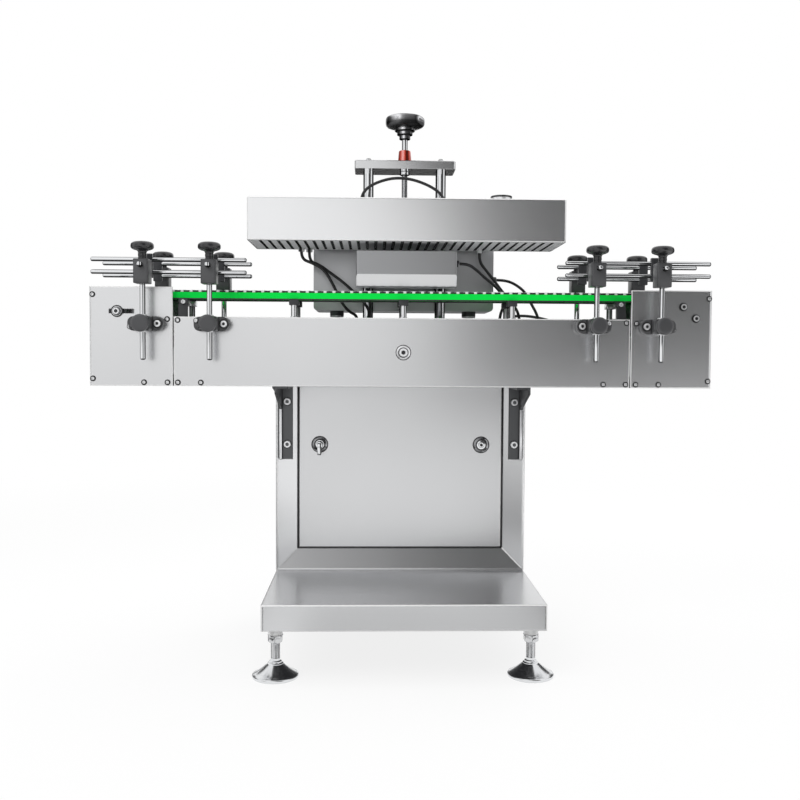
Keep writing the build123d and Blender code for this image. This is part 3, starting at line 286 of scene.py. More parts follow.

# what each finish is: colour is linear, grain is per metre along X, Y and Z or once for all three, rim and
# under are painted light and shade on edges and undersides, edge softens the mirrored rims, edge light is
# where painted edge highlights start, as limits in X and Z, and slot is the record's slot of the pieces that
# are made in it
brushed = dict(metal=1.0, rough=0.25, grain=(9, 260, 760), detail=4, grainRough=0.03, driftRough=0.04,
               bump=0.05)
polished = dict(metal=1.0, grain=60, grainRough=0.04, driftRough=0.04, bump=0.05, depth=0.00002,
                slot="chrome")
fastener = dict(rough=0.22, grain=380, grainRough=0.06, depth=0.00002, slot="chrome")
nylon = dict(grain=900, slot="dark_plastic")
finishSets = {
    "head steel": dict(brushed, colour=(0.89, 0.895, 0.905), edge=0.003, middle=0.007,
                       hem=dict(X=(0, 0.3538), Z=(0.9462, 1.0378))),
    "grille steel": dict(brushed, colour=(0.86, 0.865, 0.875), metal=0.12, rough=0.42, grain=(9, 260, 260),
                         grainRough=0.05, driftRough=0.08,
                         slots=dict(middle=0.007, pitch=0.0199, half=0.0035, count=34, centre=-0.035,
                                    long=0.168)),
    "plate side steel": dict(brushed, colour=(0.74, 0.745, 0.755), edge=0.0035,
                             hem=dict(X=(0, 0.5108), Z=(0.6202, 0.7708))),
    "cover steel": dict(brushed, colour=(0.74, 0.745, 0.755), edge=0.0035,
                        hem=dict(X=(0.5172, 0.6978), Z=(0.6202, 0.8368))),
    "satin steel along": dict(brushed, colour=(0.72, 0.725, 0.735), edge=0.0035),
    "satin steel upright": dict(brushed, colour=(0.71, 0.715, 0.725), rough=0.26, grain=(620, 260, 8),
                                driftRough=0.05, edge=0.004, rim=(1, 1, 1), rimWidth=0.004),
    "base steel": dict(brushed, colour=(0.68, 0.685, 0.695), rough=0.26, driftRough=0.05, edge=0.006,
                       under=(0.03, 0.03, 0.032), hem=dict(X=(0, 0.2968), Z=(0.1147, 0.1658))),
    "plate steel": dict(brushed, colour=(0.72, 0.725, 0.735), rough=0.17, edge=0.002, under=(1, 1, 1)),
    # the two darker brushed steels below, for the coil box, control box and lift carriage, hold painted shade
    # under the head
    "coil steel": dict(brushed, colour=(0.40, 0.405, 0.415), rough=0.30, grainRough=0.04, driftRough=0.06,
                       edge=0.002, under=(0.92, 0.925, 0.935)),
    "shaded steel": dict(brushed, colour=(0.43, 0.435, 0.445), rough=0.32, grainRough=0.04, driftRough=0.06,
                       bump=0.06, edge=0.0015),
    "bracket steel": dict(brushed, colour=(0.12, 0.123, 0.127), rough=0.36, grain=(520, 260, 10), bump=0.1,
                          grainRough=0.06, driftRough=0.08, edge=0.0012, rim=(0.02, 0.02, 0.022),
                          rimWidth=0.003),
    "chrome": dict(polished, colour=(0.80, 0.81, 0.825), rough=0.085, grain=45, driftRough=0.03,
                   shades=(0.97, 1.03), bands=barReflections, edgeTint=0.2, specular=0.0),
    "post zinc": dict(polished, colour=(0.86, 0.865, 0.88), metal=0.3, rough=0.25, driftRough=0.08,
                      bands=barReflections, edgeTint=0.2, specular=0.0),
    "foot chrome": dict(polished, colour=(0.78, 0.79, 0.805), rough=0.2, driftRough=0.05,
                        shades=(0.95, 1.03)),
    "dark chrome": dict(polished, colour=(0.88, 0.88, 0.90), rough=0.2, bands=gripReflections, edgeTint=0.3,
                        specular=0.15, slot="dark_plastic"),
    "neck chrome": dict(polished, colour=(0.88, 0.88, 0.90), rough=0.16, bands=neckReflections, edgeTint=0.3,
                        specular=0.0, slot="dark_plastic"),
    "bright zinc": dict(fastener, colour=(0.90, 0.905, 0.92), metal=0.5),
    "cover zinc": dict(fastener, colour=(0.92, 0.925, 0.94), metal=0.6, bands=screwReflections, specular=0.1),
    "screw steel": dict(fastener, colour=(0.66, 0.665, 0.675), metal=1.0, rough=0.2, grainRough=0.08,
                        bump=0.15, depth=0.00003),
    "machined steel": dict(colour=(0.46, 0.465, 0.475), metal=1.0, rough=0.32, grain=(12, 700, 12),
                           grainRough=0.12, bump=0.2, edge=0.0008, slot="stainless"),
    "lock steel": dict(colour=(0.30, 0.302, 0.31), metal=1.0, rough=0.2, grain=200, grainRough=0.05,
                       bump=0.08, depth=0.00002, rim=(0.05, 0.05, 0.05), rimWidth=0.0012, slot="stainless"),
    "black steel": dict(colour=(0.05, 0.052, 0.055), metal=0.6, rough=0.42, grain=(60, 300, 300),
                        grainRough=0.12, shades=(0.8, 1.3), bump=0.2, depth=0.00005),
    "block nylon": dict(nylon, colour=(0.082, 0.083, 0.087), rough=0.36, shades=(0.9, 1.12), bump=0.12,
                        rim=(0.010, 0.010, 0.011), rimWidth=0.0028),
    "disc nylon": dict(nylon, colour=(0.068, 0.069, 0.073), rough=0.32, grain=800, shades=(0.9, 1.12),
                       bump=0.12, rim=(0.14, 0.14, 0.145), rimWidth=0.0016),
    "knob nylon": dict(nylon, colour=(0.022, 0.022, 0.024), rough=0.27, grain=700, grainRough=0.06,
                       shades=(0.85, 1.2), depth=0.00003, coat=0.35),
    "dark nylon": dict(nylon, colour=(0.030, 0.031, 0.034), rough=0.38, grainRough=0.12, shades=(0.8, 1.35),
                       bump=0.25, depth=0.00005,
                       speck=(70, [(0.66, 0.0), (0.80, 0.22)], (0.11, 0.11, 0.115))),
    "polished black": dict(nylon, colour=(0.012, 0.012, 0.014), rough=0.16, grain=300, grainRough=0.06,
                           coat=0.6, bump=0.05, depth=0.00002),
    "dark glass": dict(nylon, colour=(0.010, 0.013, 0.016), rough=0.07, grain=20, grainRough=0.03, coat=0.5,
                       bump=0.02, depth=0.00002),
    "red anodised": dict(colour=(0.86, 0.085, 0.045), metal=0.3, rough=0.24, grain=(40, 40, 600),
                         grainRough=0.1, bump=0.12, depth=0.00003, bands=collarReflections, paintedShine=collarHighlights,
                         specular=0.1, slot="red_metal"),
    "red plastic": dict(colour=(0.62, 0.012, 0.012), rough=0.3, grain=500, depth=0.00003, coat=0.2,
                        slot="red_plastic"),
    "green plastic": dict(colour=(0.0008, 0.93, 0.085), rough=0.5, grain=(30, 400, 400), shades=(0.96, 1.03),
                          specular=0.12),
    "pale acetal": dict(colour=(0.92, 0.93, 0.94), rough=0.36, grain=(500, 300, 500), grainRough=0.1,
                        shades=(0.92, 1.04), bump=0.12, slot="pale_plastic"),
    "rubber": dict(colour=(0.018, 0.018, 0.019), rough=0.4, grain=600, grainRough=0.14, shades=(0.8, 1.3),
                   bump=0.2, slot="black_rubber"),
    "grey enamel": dict(colour=(0.17, 0.185, 0.20), rough=0.32, grain=240, bump=0.3, depth=0.00006, coat=0.15,
                        slot="grey_paint"),
}
finishes = {name: makeFinish(name.replace(" ", "_"), own) for name, own in finishSets.items()}
print("finishes made:", len(finishes))

# finish of each CAD node that keeps its own solid
nodeFinishes = {
    "plate side steel": ("front_side_plate", "rear_side_plate"),
    "cover steel": ("left_end_housing", "right_end_housing"),
    "satin steel along": ("bottom_pan",),
    "head steel": ("head_housing",),
    "grille steel": ("head_grille",),
    "base steel": ("base_plinth",),
    "plate steel": ("top_plate",),
    "satin steel upright": ("cabinet_shell", "cabinet_door"),
    "coil steel": ("coil_box",),
    "shaded steel": ("control_box", "lift_carriage"),
    "bracket steel": ("conveyor_brackets",),
    "machined steel": ("drive_shaft", "idler_shaft"),
    "green plastic": ("wear_strips",),
    "black steel": ("track_rails", "take_up_blocks"),
    "grey enamel": ("power_unit",),
}
for finishName, nodeNames in nodeFinishes.items():
    for nodeName in nodeNames:
        data = nodes[nodeName].data
        data.materials.clear()
        data.materials.append(finishes[finishName])


# surfaces that the pieces are made of
def gridFaces(rows, columns, endless=False):
    # faces of a grid whose rows close on themselves; an endless grid joins its last row to its first
    along = rows if endless else rows - 1
    i, j = np.meshgrid(np.arange(along), np.arange(columns), indexing="ij")
    after, beside = (i + 1) % rows, (j + 1) % columns
    corners = [i * columns + j, i * columns + beside, after * columns + beside, after * columns + j]
    return np.stack(corners, -1).reshape(-1, 4)


def turned(profile, segments=40):
    # ring k has radius r and height h: x = r cos t, y = r sin t, z = h, where r may change with the turn t
    turn = np.arange(segments) * tau / segments
    radius = np.stack([np.broadcast_to(r, segments) for r, h in profile])
    height = np.array([h for r, h in profile], float)[:, None] + 0 * radius
    points = np.stack([radius * np.cos(turn), radius * np.sin(turn), height], -1)
    return points.reshape(-1, 3), gridFaces(len(profile), segments)


def hexagon(acrossFlats, segments=36):
    # from the middle to the side of a hexagon: half the flats over the cosine of the turn from a flat
    turn = np.arange(segments) * tau / segments
    return acrossFlats / 2 / np.cos((turn + tau / 12) % (tau / 6) - tau / 12)


def outline(width, depth, corner, steps=5):
    # rectangle with round corners: each quarter turn is centred a corner radius in from both sides
    turn = np.linspace(0, np.pi / 2, steps)[None] + np.arange(4)[:, None] * np.pi / 2
    signX = np.array([1, -1, -1, 1])[:, None]
    signY = np.array([1, 1, -1, -1])[:, None]
    x = signX * (width / 2 - corner) + corner * np.cos(turn)
    y = signY * (depth / 2 - corner) + corner * np.sin(turn)
    return np.stack([x.ravel(), y.ravel()], -1)


def stacked(outlines, heights):
    # outlines laid over one another at their heights, closed by a point at both ends
    rings = np.stack([outlines[0] * 0] + list(outlines) + [outlines[0] * 0])
    levels = np.array([heights[0], *heights, heights[-1]], float)[:, None, None]
    points = np.concatenate([rings, levels + 0 * rings[..., :1]], -1)
    return points.reshape(-1, 3), gridFaces(len(rings), rings.shape[1])


# where a shape's own x, y and height point to for each axis
axes = {
    "z": [[1, 0, 0], [0, 1, 0], [0, 0, 1]], "-z": [[1, 0, 0], [0, -1, 0], [0, 0, -1]],
    "y": [[-1, 0, 0], [0, 0, 1], [0, 1, 0]], "-y": [[1, 0, 0], [0, 0, 1], [0, -1, 0]],
    "x": [[0, 1, 0], [0, 0, 1], [1, 0, 0]], "-x": [[0, -1, 0], [0, 0, 1], [-1, 0, 0]],
}


def placed(shape, place, axis="z"):
    # the shape's own height runs along the axis
    points, faces = shape
    return points @ np.array(axes[axis], float) + np.array(place, float), faces


def lathed(profile, segments, place, axis="z"):
    # a profile turned about its own height, then placed
    return placed(turned(profile, segments), place, axis)


def brick(xRange, yRange, zRange, along="y", corner=2.0, edge=0.8):
    # block whose outline across the given axis has round corners, with softened rims at both ends
    ranges = {"x": xRange, "y": yRange, "z": zRange}
    middle = [sum(ranges[axis]) / 2 for axis in "xyz"]
    wide = {"x": "y", "y": "x", "z": "x"}[along]
    deep = {"x": "z", "y": "z", "z": "y"}[along]
    width, depth, length = (abs(ranges[axis][1] - ranges[axis][0]) for axis in (wide, deep, along))
    half = length / 2
    inner = outline(width - 2 * edge, depth - 2 * edge, max(corner - edge, 0.2))
    outer = outline(width, depth, corner)
    middleRim = outline(width - 0.6 * edge, depth - 0.6 * edge, max(corner - 0.3 * edge, 0.2))
    heights = [-half, -half + 0.3 * edge, -half + edge, half - edge, half - 0.3 * edge, half]
    return placed(stacked([inner, middleRim, outer, outer, middleRim, inner], heights), middle, along)


def rod(length, radius, tip=0.8, segments=28):
    # straight bar with a quarter circle of radius tip at each end
    bend = np.linspace(0, np.pi / 2, 5)
    start = [(radius - tip + tip * np.sin(a), tip - tip * np.cos(a)) for a in bend]
    end = [(r, length - h) for r, h in start[::-1]]
    return turned([(0, 0)] + start + end + [(0, length)], segments)


def socketBolt(diameter, height, share=0.5):
    # cap head with a hexagon socket sunk into it
    r, rim = diameter / 2, 0.07 * diameter
    key, depth = hexagon(diameter * share), min(0.45 * diameter, 0.7 * height)
    return turned([(0, 0), (r, 0), (r, height - rim), (r - rim, height), (key, height), (key, height - depth),
                   (0, height - depth)], 36)


def buttonHead(diameter, height, share=0.46):
    # domed head with a hexagon socket
    r = diameter / 2
    key = hexagon(diameter * share)
    dome = [(r * np.cos(a), height * (0.25 + 0.75 * np.sin(a))) for a in np.linspace(0, 0.9, 4)]
    socket = [(key, dome[-1][1]), (key, height * 0.35), (0, height * 0.35)]
    return turned([(0, 0), (r, 0)] + dome + socket, 36)


def hexNut(acrossFlats, height):
    # hexagon with its corners turned off at both faces
    rim, side = 0.47 * acrossFlats, hexagon(acrossFlats)
    return turned([(0, 0), (rim, 0), (side, 0.16 * height), (side, 0.84 * height), (rim, height),
                   (0, height)], 36)


def washer(diameter, height):
    # flat disc with both rims broken
    r = diameter / 2
    return turned([(0, 0), (r - 0.4, 0), (r, 0.4), (r, height - 0.5), (r - 0.6, height), (0, height)], 36)


def shadeDisc(diameter, place, axis, height=0.9):
    # thin dark disc of painted shade: under a head its rim shows as a shadow line, in a socket it is the
    # shaded floor
    r = diameter / 2
    return lathed([(0, 0), (r, 0), (r, height), (0, height)], 32, place, axis)


def threaded(length, radius, pitch, starts=1, depth=0.5, segments=24):
    # screw surface: r = R - depth/2 (1 - cos(2 pi z / pitch - starts t))
    turn = np.arange(segments) * tau / segments
    heights = np.arange(0, length, pitch / 5)
    rings = [(radius - depth / 2 * (1 - np.cos(tau * h / pitch - starts * turn)), h) for h in heights]
    return turned([(0, 0)] + rings + [(radius - depth, length), (0, length)], segments)


def makePiece(name, shapes, finish, body="root", stands=None, sharp=34):
    # all shapes of one finish become one mesh: doubles merged, faces outward, hard edges kept
    starts = np.cumsum([0] + [len(points) for points, faces in shapes])
    points = np.concatenate([points for points, faces in shapes]) * 0.001
    faces = np.concatenate([faces + start for (_, faces), start in zip(shapes, starts)])
    mesh = bpy.data.meshes.new(name)
    mesh.from_pydata(points.tolist(), [], faces.tolist())
    work = bmesh.new()
    work.from_mesh(mesh)
    bmesh.ops.remove_doubles(work, verts=work.verts, dist=1e-6)
    bmesh.ops.recalc_face_normals(work, faces=work.faces)
    work.to_mesh(mesh)
    work.free()
    mesh.shade_smooth()
    mesh.set_sharp_from_angle(angle=np.radians(sharp))
    mesh.materials.append(finishes[finish])
    piece = intoScene(name, mesh)
    if body:
        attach(piece, body)
    if stands:
        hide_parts(stands)      # the CAD node that the piece stands for
    return piece


# cables: body, length and the route points of the part, each a smooth open spline
cableSet = dict(diameter=7, sides=16, hold=12)      # hold: height at both ends
cableRoutes = {
    "arch_cable": ("head", 261, [
        (-98, 25, 1048), (-98, 25, 1067), (-85, 25, 1087), (-62, 25, 1100), (-34, 25, 1109), (-9, 25, 1112),
        (23, 25, 1109), (56, 25, 1098), (82, 25, 1084), (100, 25, 1066), (100, 25, 1048)]),
    "left_outer_cable": ("blend", 245, [
        (-240, 30, 936), (-240, 30, 918), (-212, 28, 908), (-184, 26, 892), (-162, 24, 854), (-147, 24, 820),
        (-128, 28, 794), (-104, 40, 784), (-104, 40, 754)]),
    "left_inner_cable": ("blend", 252, [
        (-222, 42, 936), (-222, 42, 914), (-198, 40, 906), (-172, 38, 887), (-140, 36, 864), (-116, 34, 842),
        (-92, 35, 820), (-74, 40, 790), (-74, 40, 754)]),
    "coil_cable": ("blend", 234, [
        (131, -40, 903), (152, -40, 903), (173, -22, 892), (193, -2, 877), (216, 12, 862), (238, 20, 842),
        (247, 26, 812), (236, 32, 784), (236, 32, 754)]),
    "right_outer_cable": ("blend", 216, [
        (187, 36, 936), (187, 36, 916), (203, 36, 896), (222, 37, 873), (248, 39, 839), (274, 42, 812),
        (288, 45, 784), (288, 45, 754)]),
    "control_cable": ("blend", 251, [
        (239, 120, 879), (262, 120, 879), (285, 104, 868), (307, 88, 848), (319, 74, 820), (335, 68, 790),
        (342, 70, 758), (340, 78, 732), (334, 80, 715), (312, 80, 715)]),
    "motor_cable": ("root", 359, [
        (570, 179, 784), (546, 179, 784), (512, 172, 779), (470, 157, 771), (426, 140, 769), (384, 122, 777),
        (342, 106, 786), (302, 90, 790), (262, 66, 785), (262, 66, 754)]),
}


def splineOf(name, route):
    # one smooth open spline with the route's points as its control points, in metres
    curve = bpy.data.curves.new(name, "CURVE")
    curve.dimensions = "3D"
    spline = curve.splines.new("NURBS")
    spline.points.add(len(route) - 1)
    points = [(x / 1000, y / 1000, z / 1000, 1) for x, y, z in route]
    spline.points.foreach_set("co", np.array(points).ravel())
    spline.order_u = 3
    spline.use_endpoint_u = True
    spline.resolution_u = 12
    return curve


def cordPiece(name, body, length, route, s):
    # points read from the smooth spline, with a round section carried along them
    line = intoScene(name + "_line", splineOf(name + "_line", route))
    bpy.context.view_layer.update()
    run = bpy.data.meshes.new_from_object(line)
    path = np.zeros(len(run.vertices) * 3)
    run.vertices.foreach_get("co", path)
    path = path.reshape(-1, 3)
    bpy.data.objects.remove(line)
    # section: point + r (cos t side + sin t over), closed by a point at both ends
    forward = np.gradient(path, axis=0)
    forward /= np.linalg.norm(forward, axis=1)[:, None]
    side = np.cross(forward, (0, 1, 0))
    side /= np.linalg.norm(side, axis=1)[:, None]
    over = np.cross(side, forward)
    turn = np.arange(s["sides"]) * tau / s["sides"]
    out = np.cos(turn)[None, :, None] * side[:, None] + np.sin(turn)[None, :, None] * over[:, None]
    rings = path[:, None] + s["diameter"] / 2000 * out
    rings = np.concatenate([path[:1, None] + 0 * rings[:1], rings, path[-1:, None] + 0 * rings[-1:]])
    shape = (rings.reshape(-1, 3) * 1000, gridFaces(len(rings), s["sides"]))
    piece = makePiece(name + "_sheath", [shape], "rubber", None if body == "blend" else body, name)
    if body == "blend":
        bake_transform(piece)
    [value / 1000 for value in route[0]]
    length / 1000


for cableName, (cableBody, cableLength, cableRoute) in cableRoutes.items():
    cordPiece(cableName, cableBody, cableLength, cableRoute, cableSet)
print("cables laid:", len(cableRoutes))

# levelling feet: pad, its rim, cone and stem, and the lock nut under the base
footSet = dict(x=274, y=248, pad=100, rim=8, cone=30, coneTop=34, stem=20, top=146, pitch=2.5, thread=0.7,
               nut=30, nutLow=76.7, nutHigh=92.7, washer=33)


def footShape(s):
    # flat rim, hollow-sided cone, swivel ring and the foot of the stem
    r, top, rim, cone = s["pad"] / 2, s["coneTop"] / 2, s["rim"], s["cone"]
    share = np.linspace(0, 1, 9)
    flank = [(r - 1.2 - (r - 1.2 - top) * (t ** 0.9), rim + (cone - rim) * t ** 1.12) for t in share]
    base = [(0, 0), (r - 3.5, 0), (r - 1.2, 1.2), (r, 4), (r, rim - 2.2), (r - 0.4, rim - 0.9)]
    ring = [(top, cone + 1.2), (top - 3.2, cone + 2.4), (13.4, cone + 3), (13.4, cone + 5.6),
            (s["stem"] / 2, cone + 7.2), (s["stem"] / 2, cone + 12)]
    return turned(base + flank + ring + [(0, cone + 12)], 64)


# signs of X and Y at the four corners, for the feet and for the rail sets
corners = {"front_left": (-1, -1), "front_right": (1, -1), "rear_left": (-1, 1), "rear_right": (1, 1)}
nutShapes = []
s = footSet
for corner, (sideX, sideY) in corners.items():
    x, y = sideX * s["x"], sideY * s["y"]
    foot = corner + "_foot"
    stemLow = s["cone"] + 7
    stem = threaded(s["top"] - stemLow, s["stem"] / 2, s["pitch"], depth=s["thread"])
    makePiece(foot + "_pad", [placed(footShape(s), (x, y, 0))], "foot chrome", foot, foot)
    makePiece(foot + "_stem", [placed(stem, (x, y, stemLow))], "screw steel", foot)
    nutShapes += [placed(hexNut(s["nut"], s["nutHigh"] - s["nutLow"]), (x, y, s["nutLow"])),
                  placed(washer(s["washer"], 2), (x, y, s["nutHigh"] - 1.8))]
makePiece("foot_lock_nut_set", nutShapes, "screw steel", stands="foot_lock_nuts")
print("feet made")

# screws of the covers and plates
sides = ((-122, "-y", -1), (-2, "y", 1))      # outer face of each side plate, the way it looks, and its sign
coverScrews = [(-692, 821), (-692, 634), (-579, 626), (-527, 626), (-527, 767), (692, 821), (692, 634),
               (579, 626), (527, 626), (527, 764), (504, 765), (-504, 765), (504, 626), (-504, 626),
               (453, 626), (-453, 626)]
bearingBolts = [(633, 802), (662, 776)]
# dark discs under the screw heads and in their sockets are painted shade
screwShapes, shadeDiscShapes = [], []
for x, z in coverScrews:
    for y, axis, sign in sides:
        screwShapes.append(placed(buttonHead(9.6, 3.4), (x, y, z), axis))
        shadeDiscShapes.append(shadeDisc(13, (x, y, z), axis))
y, axis, sign = sides[0]
for x, z in bearingBolts:
    screwShapes.append(placed(socketBolt(16, 6, 0.44), (x, y - 0.6, z), axis))
    shadeDiscShapes += [shadeDisc(19.4, (x, y, z), axis), shadeDisc(7, (x, y - 2.6, z), axis)]
makePiece("cover_screw_set", screwShapes, "cover zinc", stands="cover_screws")

# middle bolt through both side plates, and the plates that join the conveyor's body inside
tieSet = dict(z=695.5, rod=12, rodY=(-125, 6), washer=32, head=19, spliceX=(473, 555), spliceZ=(644, 704),
              spliceY=((-118, -114), (-10, -6)))
s = tieSet
r = s["washer"] / 2
plate = [(0, 0), (r - 0.4, 0), (r, 0.6), (r - 0.6, 2.2), (r - 2.4, 3), (r - 5.2, 2.4), (0, 2.4)]
tieShapes = [placed(rod(s["rodY"][1] - s["rodY"][0], s["rod"] / 2), (0, s["rodY"][0], s["z"]), "y")]
for y, axis, sign in sides:
    tieShapes += [lathed(plate, 48, (0, y, s["z"]), axis),
                  placed(socketBolt(s["head"], 7.4, 0.52), (0, y + sign * 2.2, s["z"]), axis)]
    # dark discs round the washer, under the head and in the socket: painted shade
    shadeDiscShapes += [shadeDisc(diameter, (0, y + sign * step, s["z"]), axis, height)
                   for diameter, step, height in ((35, 0, 1), (23, 2.2, 1.2), (9, 5.2, 0.9))]
makePiece("tie_bolt", tieShapes, "bright zinc", stands="frame_joiners")
spliceShapes = [brick(sorted(side * x for x in s["spliceX"]), yRange, s["spliceZ"], "y", 3, 0.6)
                for side in (-1, 1) for yRange in s["spliceY"]]
makePiece("splice_plates", spliceShapes, "machined steel")
print("fasteners made")

# chain: pale slats with narrow tips on a dark link band; bands are half width, low and high
chainSet = dict(count=143, shaftX=638, shaftZ=784, inner=45, thick=5, halfWidth=41.25, halfSlat=9.0,
                halfTip=4.6, shoulder=31, links=(40.4, 0.1, 4), guide=(6, -6, 0.05))
across = np.array((0.0, 1.0, 0.0))


def loopPoint(distance, radius, s):
    # a way round two wheels: straight over the top, half a turn, straight back, half a turn
    straight, bend = 2 * s["shaftX"], np.pi * radius
    at = np.mod(distance, 2 * (straight + bend))
    second = at >= straight + bend
    part = np.where(second, at - straight - bend, at)
    angle = np.clip((part - straight) / radius, 0, np.pi)
    run = np.minimum(part, straight) - s["shaftX"]
    x, z = run + radius * np.sin(angle), radius * np.cos(angle)
    flip = np.where(second, -1, 1)
    place = np.stack([flip * x, 0 * x + laneY, s["shaftZ"] + flip * z], -1)
    ahead = np.stack([flip * np.cos(angle), 0 * x, -flip * np.sin(angle)], -1)
    out = np.stack([flip * np.sin(angle), 0 * x, flip * np.cos(angle)], -1)
    return place, ahead, out


def slatShapes(s):
    # one plate outline with narrow tips, repeated at even steps round the loop
    long, tip, wide, knee = s["halfSlat"], s["halfTip"], s["halfWidth"], s["shoulder"]
    plan = np.array([(long, -knee), (long, knee), (tip, wide - 2), (tip - 2, wide), (2 - tip, wide),
                     (-tip, wide - 2), (-long, knee), (-long, -knee), (-tip, 2 - wide), (2 - tip, -wide),
                     (tip - 2, -wide), (tip, 2 - wide)])
    points, faces = stacked([plan * 0.985, plan, plan, plan * 0.97], [0, 0.6, s["thick"] - 1, s["thick"]])
    middleRadius = s["inner"] + s["thick"]
    total = 4 * s["shaftX"] + tau * middleRadius
    place, ahead, out = loopPoint(np.arange(s["count"]) * total / s["count"], middleRadius, s)
    base = place - out * s["thick"]
    everyPoint = (base[:, None] + points[None, :, 0, None] * ahead[:, None]
                  + points[None, :, 1, None] * across + points[None, :, 2, None] * out[:, None])
    shift = np.arange(s["count"])[:, None, None] * len(points)
    return everyPoint.reshape(-1, 3), (faces[None] + shift).reshape(-1, 4)


def bandShape(s, halfWidth, low, high):
    # thin closed loop: a flat section carried round both wheels
    straight, bend = 2 * s["shaftX"], np.pi * s["inner"]
    distance = np.concatenate([np.array([0.0]), straight + np.linspace(0, 1, 25) * bend,
                               np.array([straight + bend + 1]),
                               2 * straight + bend + np.linspace(0, 0.96, 24) * bend])
    place, ahead, out = loopPoint(distance, s["inner"], s)
    section = [(-halfWidth, low), (halfWidth, low), (halfWidth, high), (-halfWidth, high)]
    rings = np.stack([place + w * across + h * out for w, h in section], 1)
    return rings.reshape(-1, 3), gridFaces(len(rings), 4, endless=True)


makePiece("chain_slats", [slatShapes(chainSet)], "pale acetal", stands="conveyor_chain", sharp=30)
makePiece("chain_links", [bandShape(chainSet, *chainSet[key]) for key in ("links", "guide")], "rubber")
print("chain made")

# track posts between the side plates and the rails; wall is from the lane's middle to a plate's inside
postSet = dict(pitch=246, wall=56, low=707, capLow=801, capHigh=813, capHalf=11, capDepth=25, rod=14,
               inset=7.5, endInner=9, endOuter=12, endDepth=13, nut=62, bolt=5)
postRods, postCaps, paleCaps = [], [], []
s = postSet
for side in (-1, 1):
    wall = laneY + side * s["wall"]
    for index in (-2, -1, 0, 1, 2):
        x = index * s["pitch"]
        y = wall - side * s["inset"]
        last = abs(index) == 2
        cap = brick((x - s["capHalf"], x + s["capHalf"]), sorted((wall, wall - side * s["capDepth"])),
                    (s["capLow"], s["capHigh"]), "z", 2, 0.6)
        (paleCaps if side > 0 and last else postCaps).append(cap)
        if last and side < 0:
            # square end posts of the front, wider towards the end
            outer = np.sign(index)
            width = sorted((x - outer * s["endInner"], x + outer * s["endOuter"]))
            postCaps.append(brick(width, sorted((wall, wall - side * s["endDepth"])), (s["low"], s["capLow"]),
                                  "z", 2, 0.8))
            postRods.append(placed(socketBolt(10, 4), (x, wall - side * 0.2, s["capLow"] + s["bolt"]), "-y"))
        else:
            postRods.append(placed(rod(s["capLow"] - s["low"], s["rod"] / 2), (x, y, s["low"])))
            postRods.append(placed(hexNut(17, 6), (x, y, s["low"] + s["nut"])))
makePiece("track_post_rods", postRods, "post zinc", stands="track_posts")
makePiece("track_post_caps", postCaps, "dark nylon")
makePiece("track_post_end_caps", paleCaps, "bright zinc")
print("track posts made")

# guide rails: clamps, posts, cross blocks, arms, holders, rails and knobs; Out counts from the lane's middle
railSet = dict(inner=426, outer=571, postOut=103, postZ=(676, 868), blockHalf=(16.5, 19), blockZ=(842, 895),
               armOut=(54, 138), armZ=882, holderHalf=10, holderOut=(42, 54), holderZ=(859, 913),
               railOut=48, railZ=(900, 872), railNear={-1: 352, 1: 366}, railFar=699)
clampSet = dict(z=(740, 772), armHalf=38, armOut=(60, 88), bodyHalf=18, bodyOut=(86, 121), tab=(19, 28),
                tabOut=(88, 116), tabZ=(4, 14), discOut=121.3, boltX=29, pinX=32, pinUp=7)
clampDisc = [(0, 0), (9, 0), (9, 1.2), (17, 1.4), (19, 3.2), (19, 10.2), (18.2, 12.4), (16.4, 13.6),
             (12, 13.9), (0, 13.9)]
# low mushroom grip on a straight neck with two grooves
topKnob = [(0, 888.3), (5, 888.3), (5, 895.3), (9, 895.6), (9.3, 899), (8.6, 899.6), (8.6, 900.8),
           (9.3, 901.4), (9.3, 907), (8.8, 907.6), (8.8, 908.6), (9.4, 909.2), (9.8, 911.6), (12, 913.6),
           (18, 915.2), (22.4, 917.2), (24.6, 920), (25, 923.4), (24.5, 927), (22.6, 930), (19, 932),
           (14, 933.1), (0, 933.4)]
clampBodies, clampDiscs, clampBolts = [], [], []


def outRange(sideY, near, far):
    # from near to far in Y, counted from the lane's middle to the front (-1) or the rear (1)
    return sorted((laneY + sideY * near, laneY + sideY * far))


def addClamp(s, x, y, sideX, sideY, pinUp, facing):
    # flat arm with round corners, body round the post, small tab, disc knob, bolts and their rings; dark
    # discs under the heads and in the socket are painted shade
    low, high = s["z"]
    middle = (low + high) / 2
    armX = sorted((x - sideX * s["armHalf"], x + sideX * s["armHalf"]))
    tabX = sorted((x + sideX * s["tab"][0], x + sideX * s["tab"][1]))
    clampBodies.extend([
        brick(armX, outRange(sideY, *s["armOut"]), s["z"], "y", 13, 2.2),
        brick((x - s["bodyHalf"], x + s["bodyHalf"]), outRange(sideY, *s["bodyOut"]), s["z"], "y", 5, 2),
        brick(tabX, outRange(sideY, *s["tabOut"]), (low + s["tabZ"][0], low + s["tabZ"][1]), "y", 4, 1.5)])
    clampDiscs.append(lathed(clampDisc, 56, (x, laneY + sideY * s["discOut"], middle), facing))
    boltX, pinX, pinZ = x - sideX * s["boltX"], x + sideX * s["pinX"], middle + pinUp
    face = laneY + sideY * s["armOut"][1]
    clampBolts.extend([
        placed(socketBolt(14.4, 7, 0.46), (boltX, face + sideY * 0.8, middle), facing),
        placed(rod(3.4, 9, 1), (x, y, high - 0.2)),
        placed(rod(3.4, 9, 1), (x, y, low - 3.2)),
        placed(buttonHead(9, 4.4), (pinX, face + sideY * 0.4, pinZ), facing)])
    shadeDiscShapes.extend([
        shadeDisc(22, (boltX, face, middle), facing, 1),
        shadeDisc(6.6, (boltX, face + sideY * 4.6, middle), facing),
        shadeDisc(12, (pinX, face, pinZ), facing)])


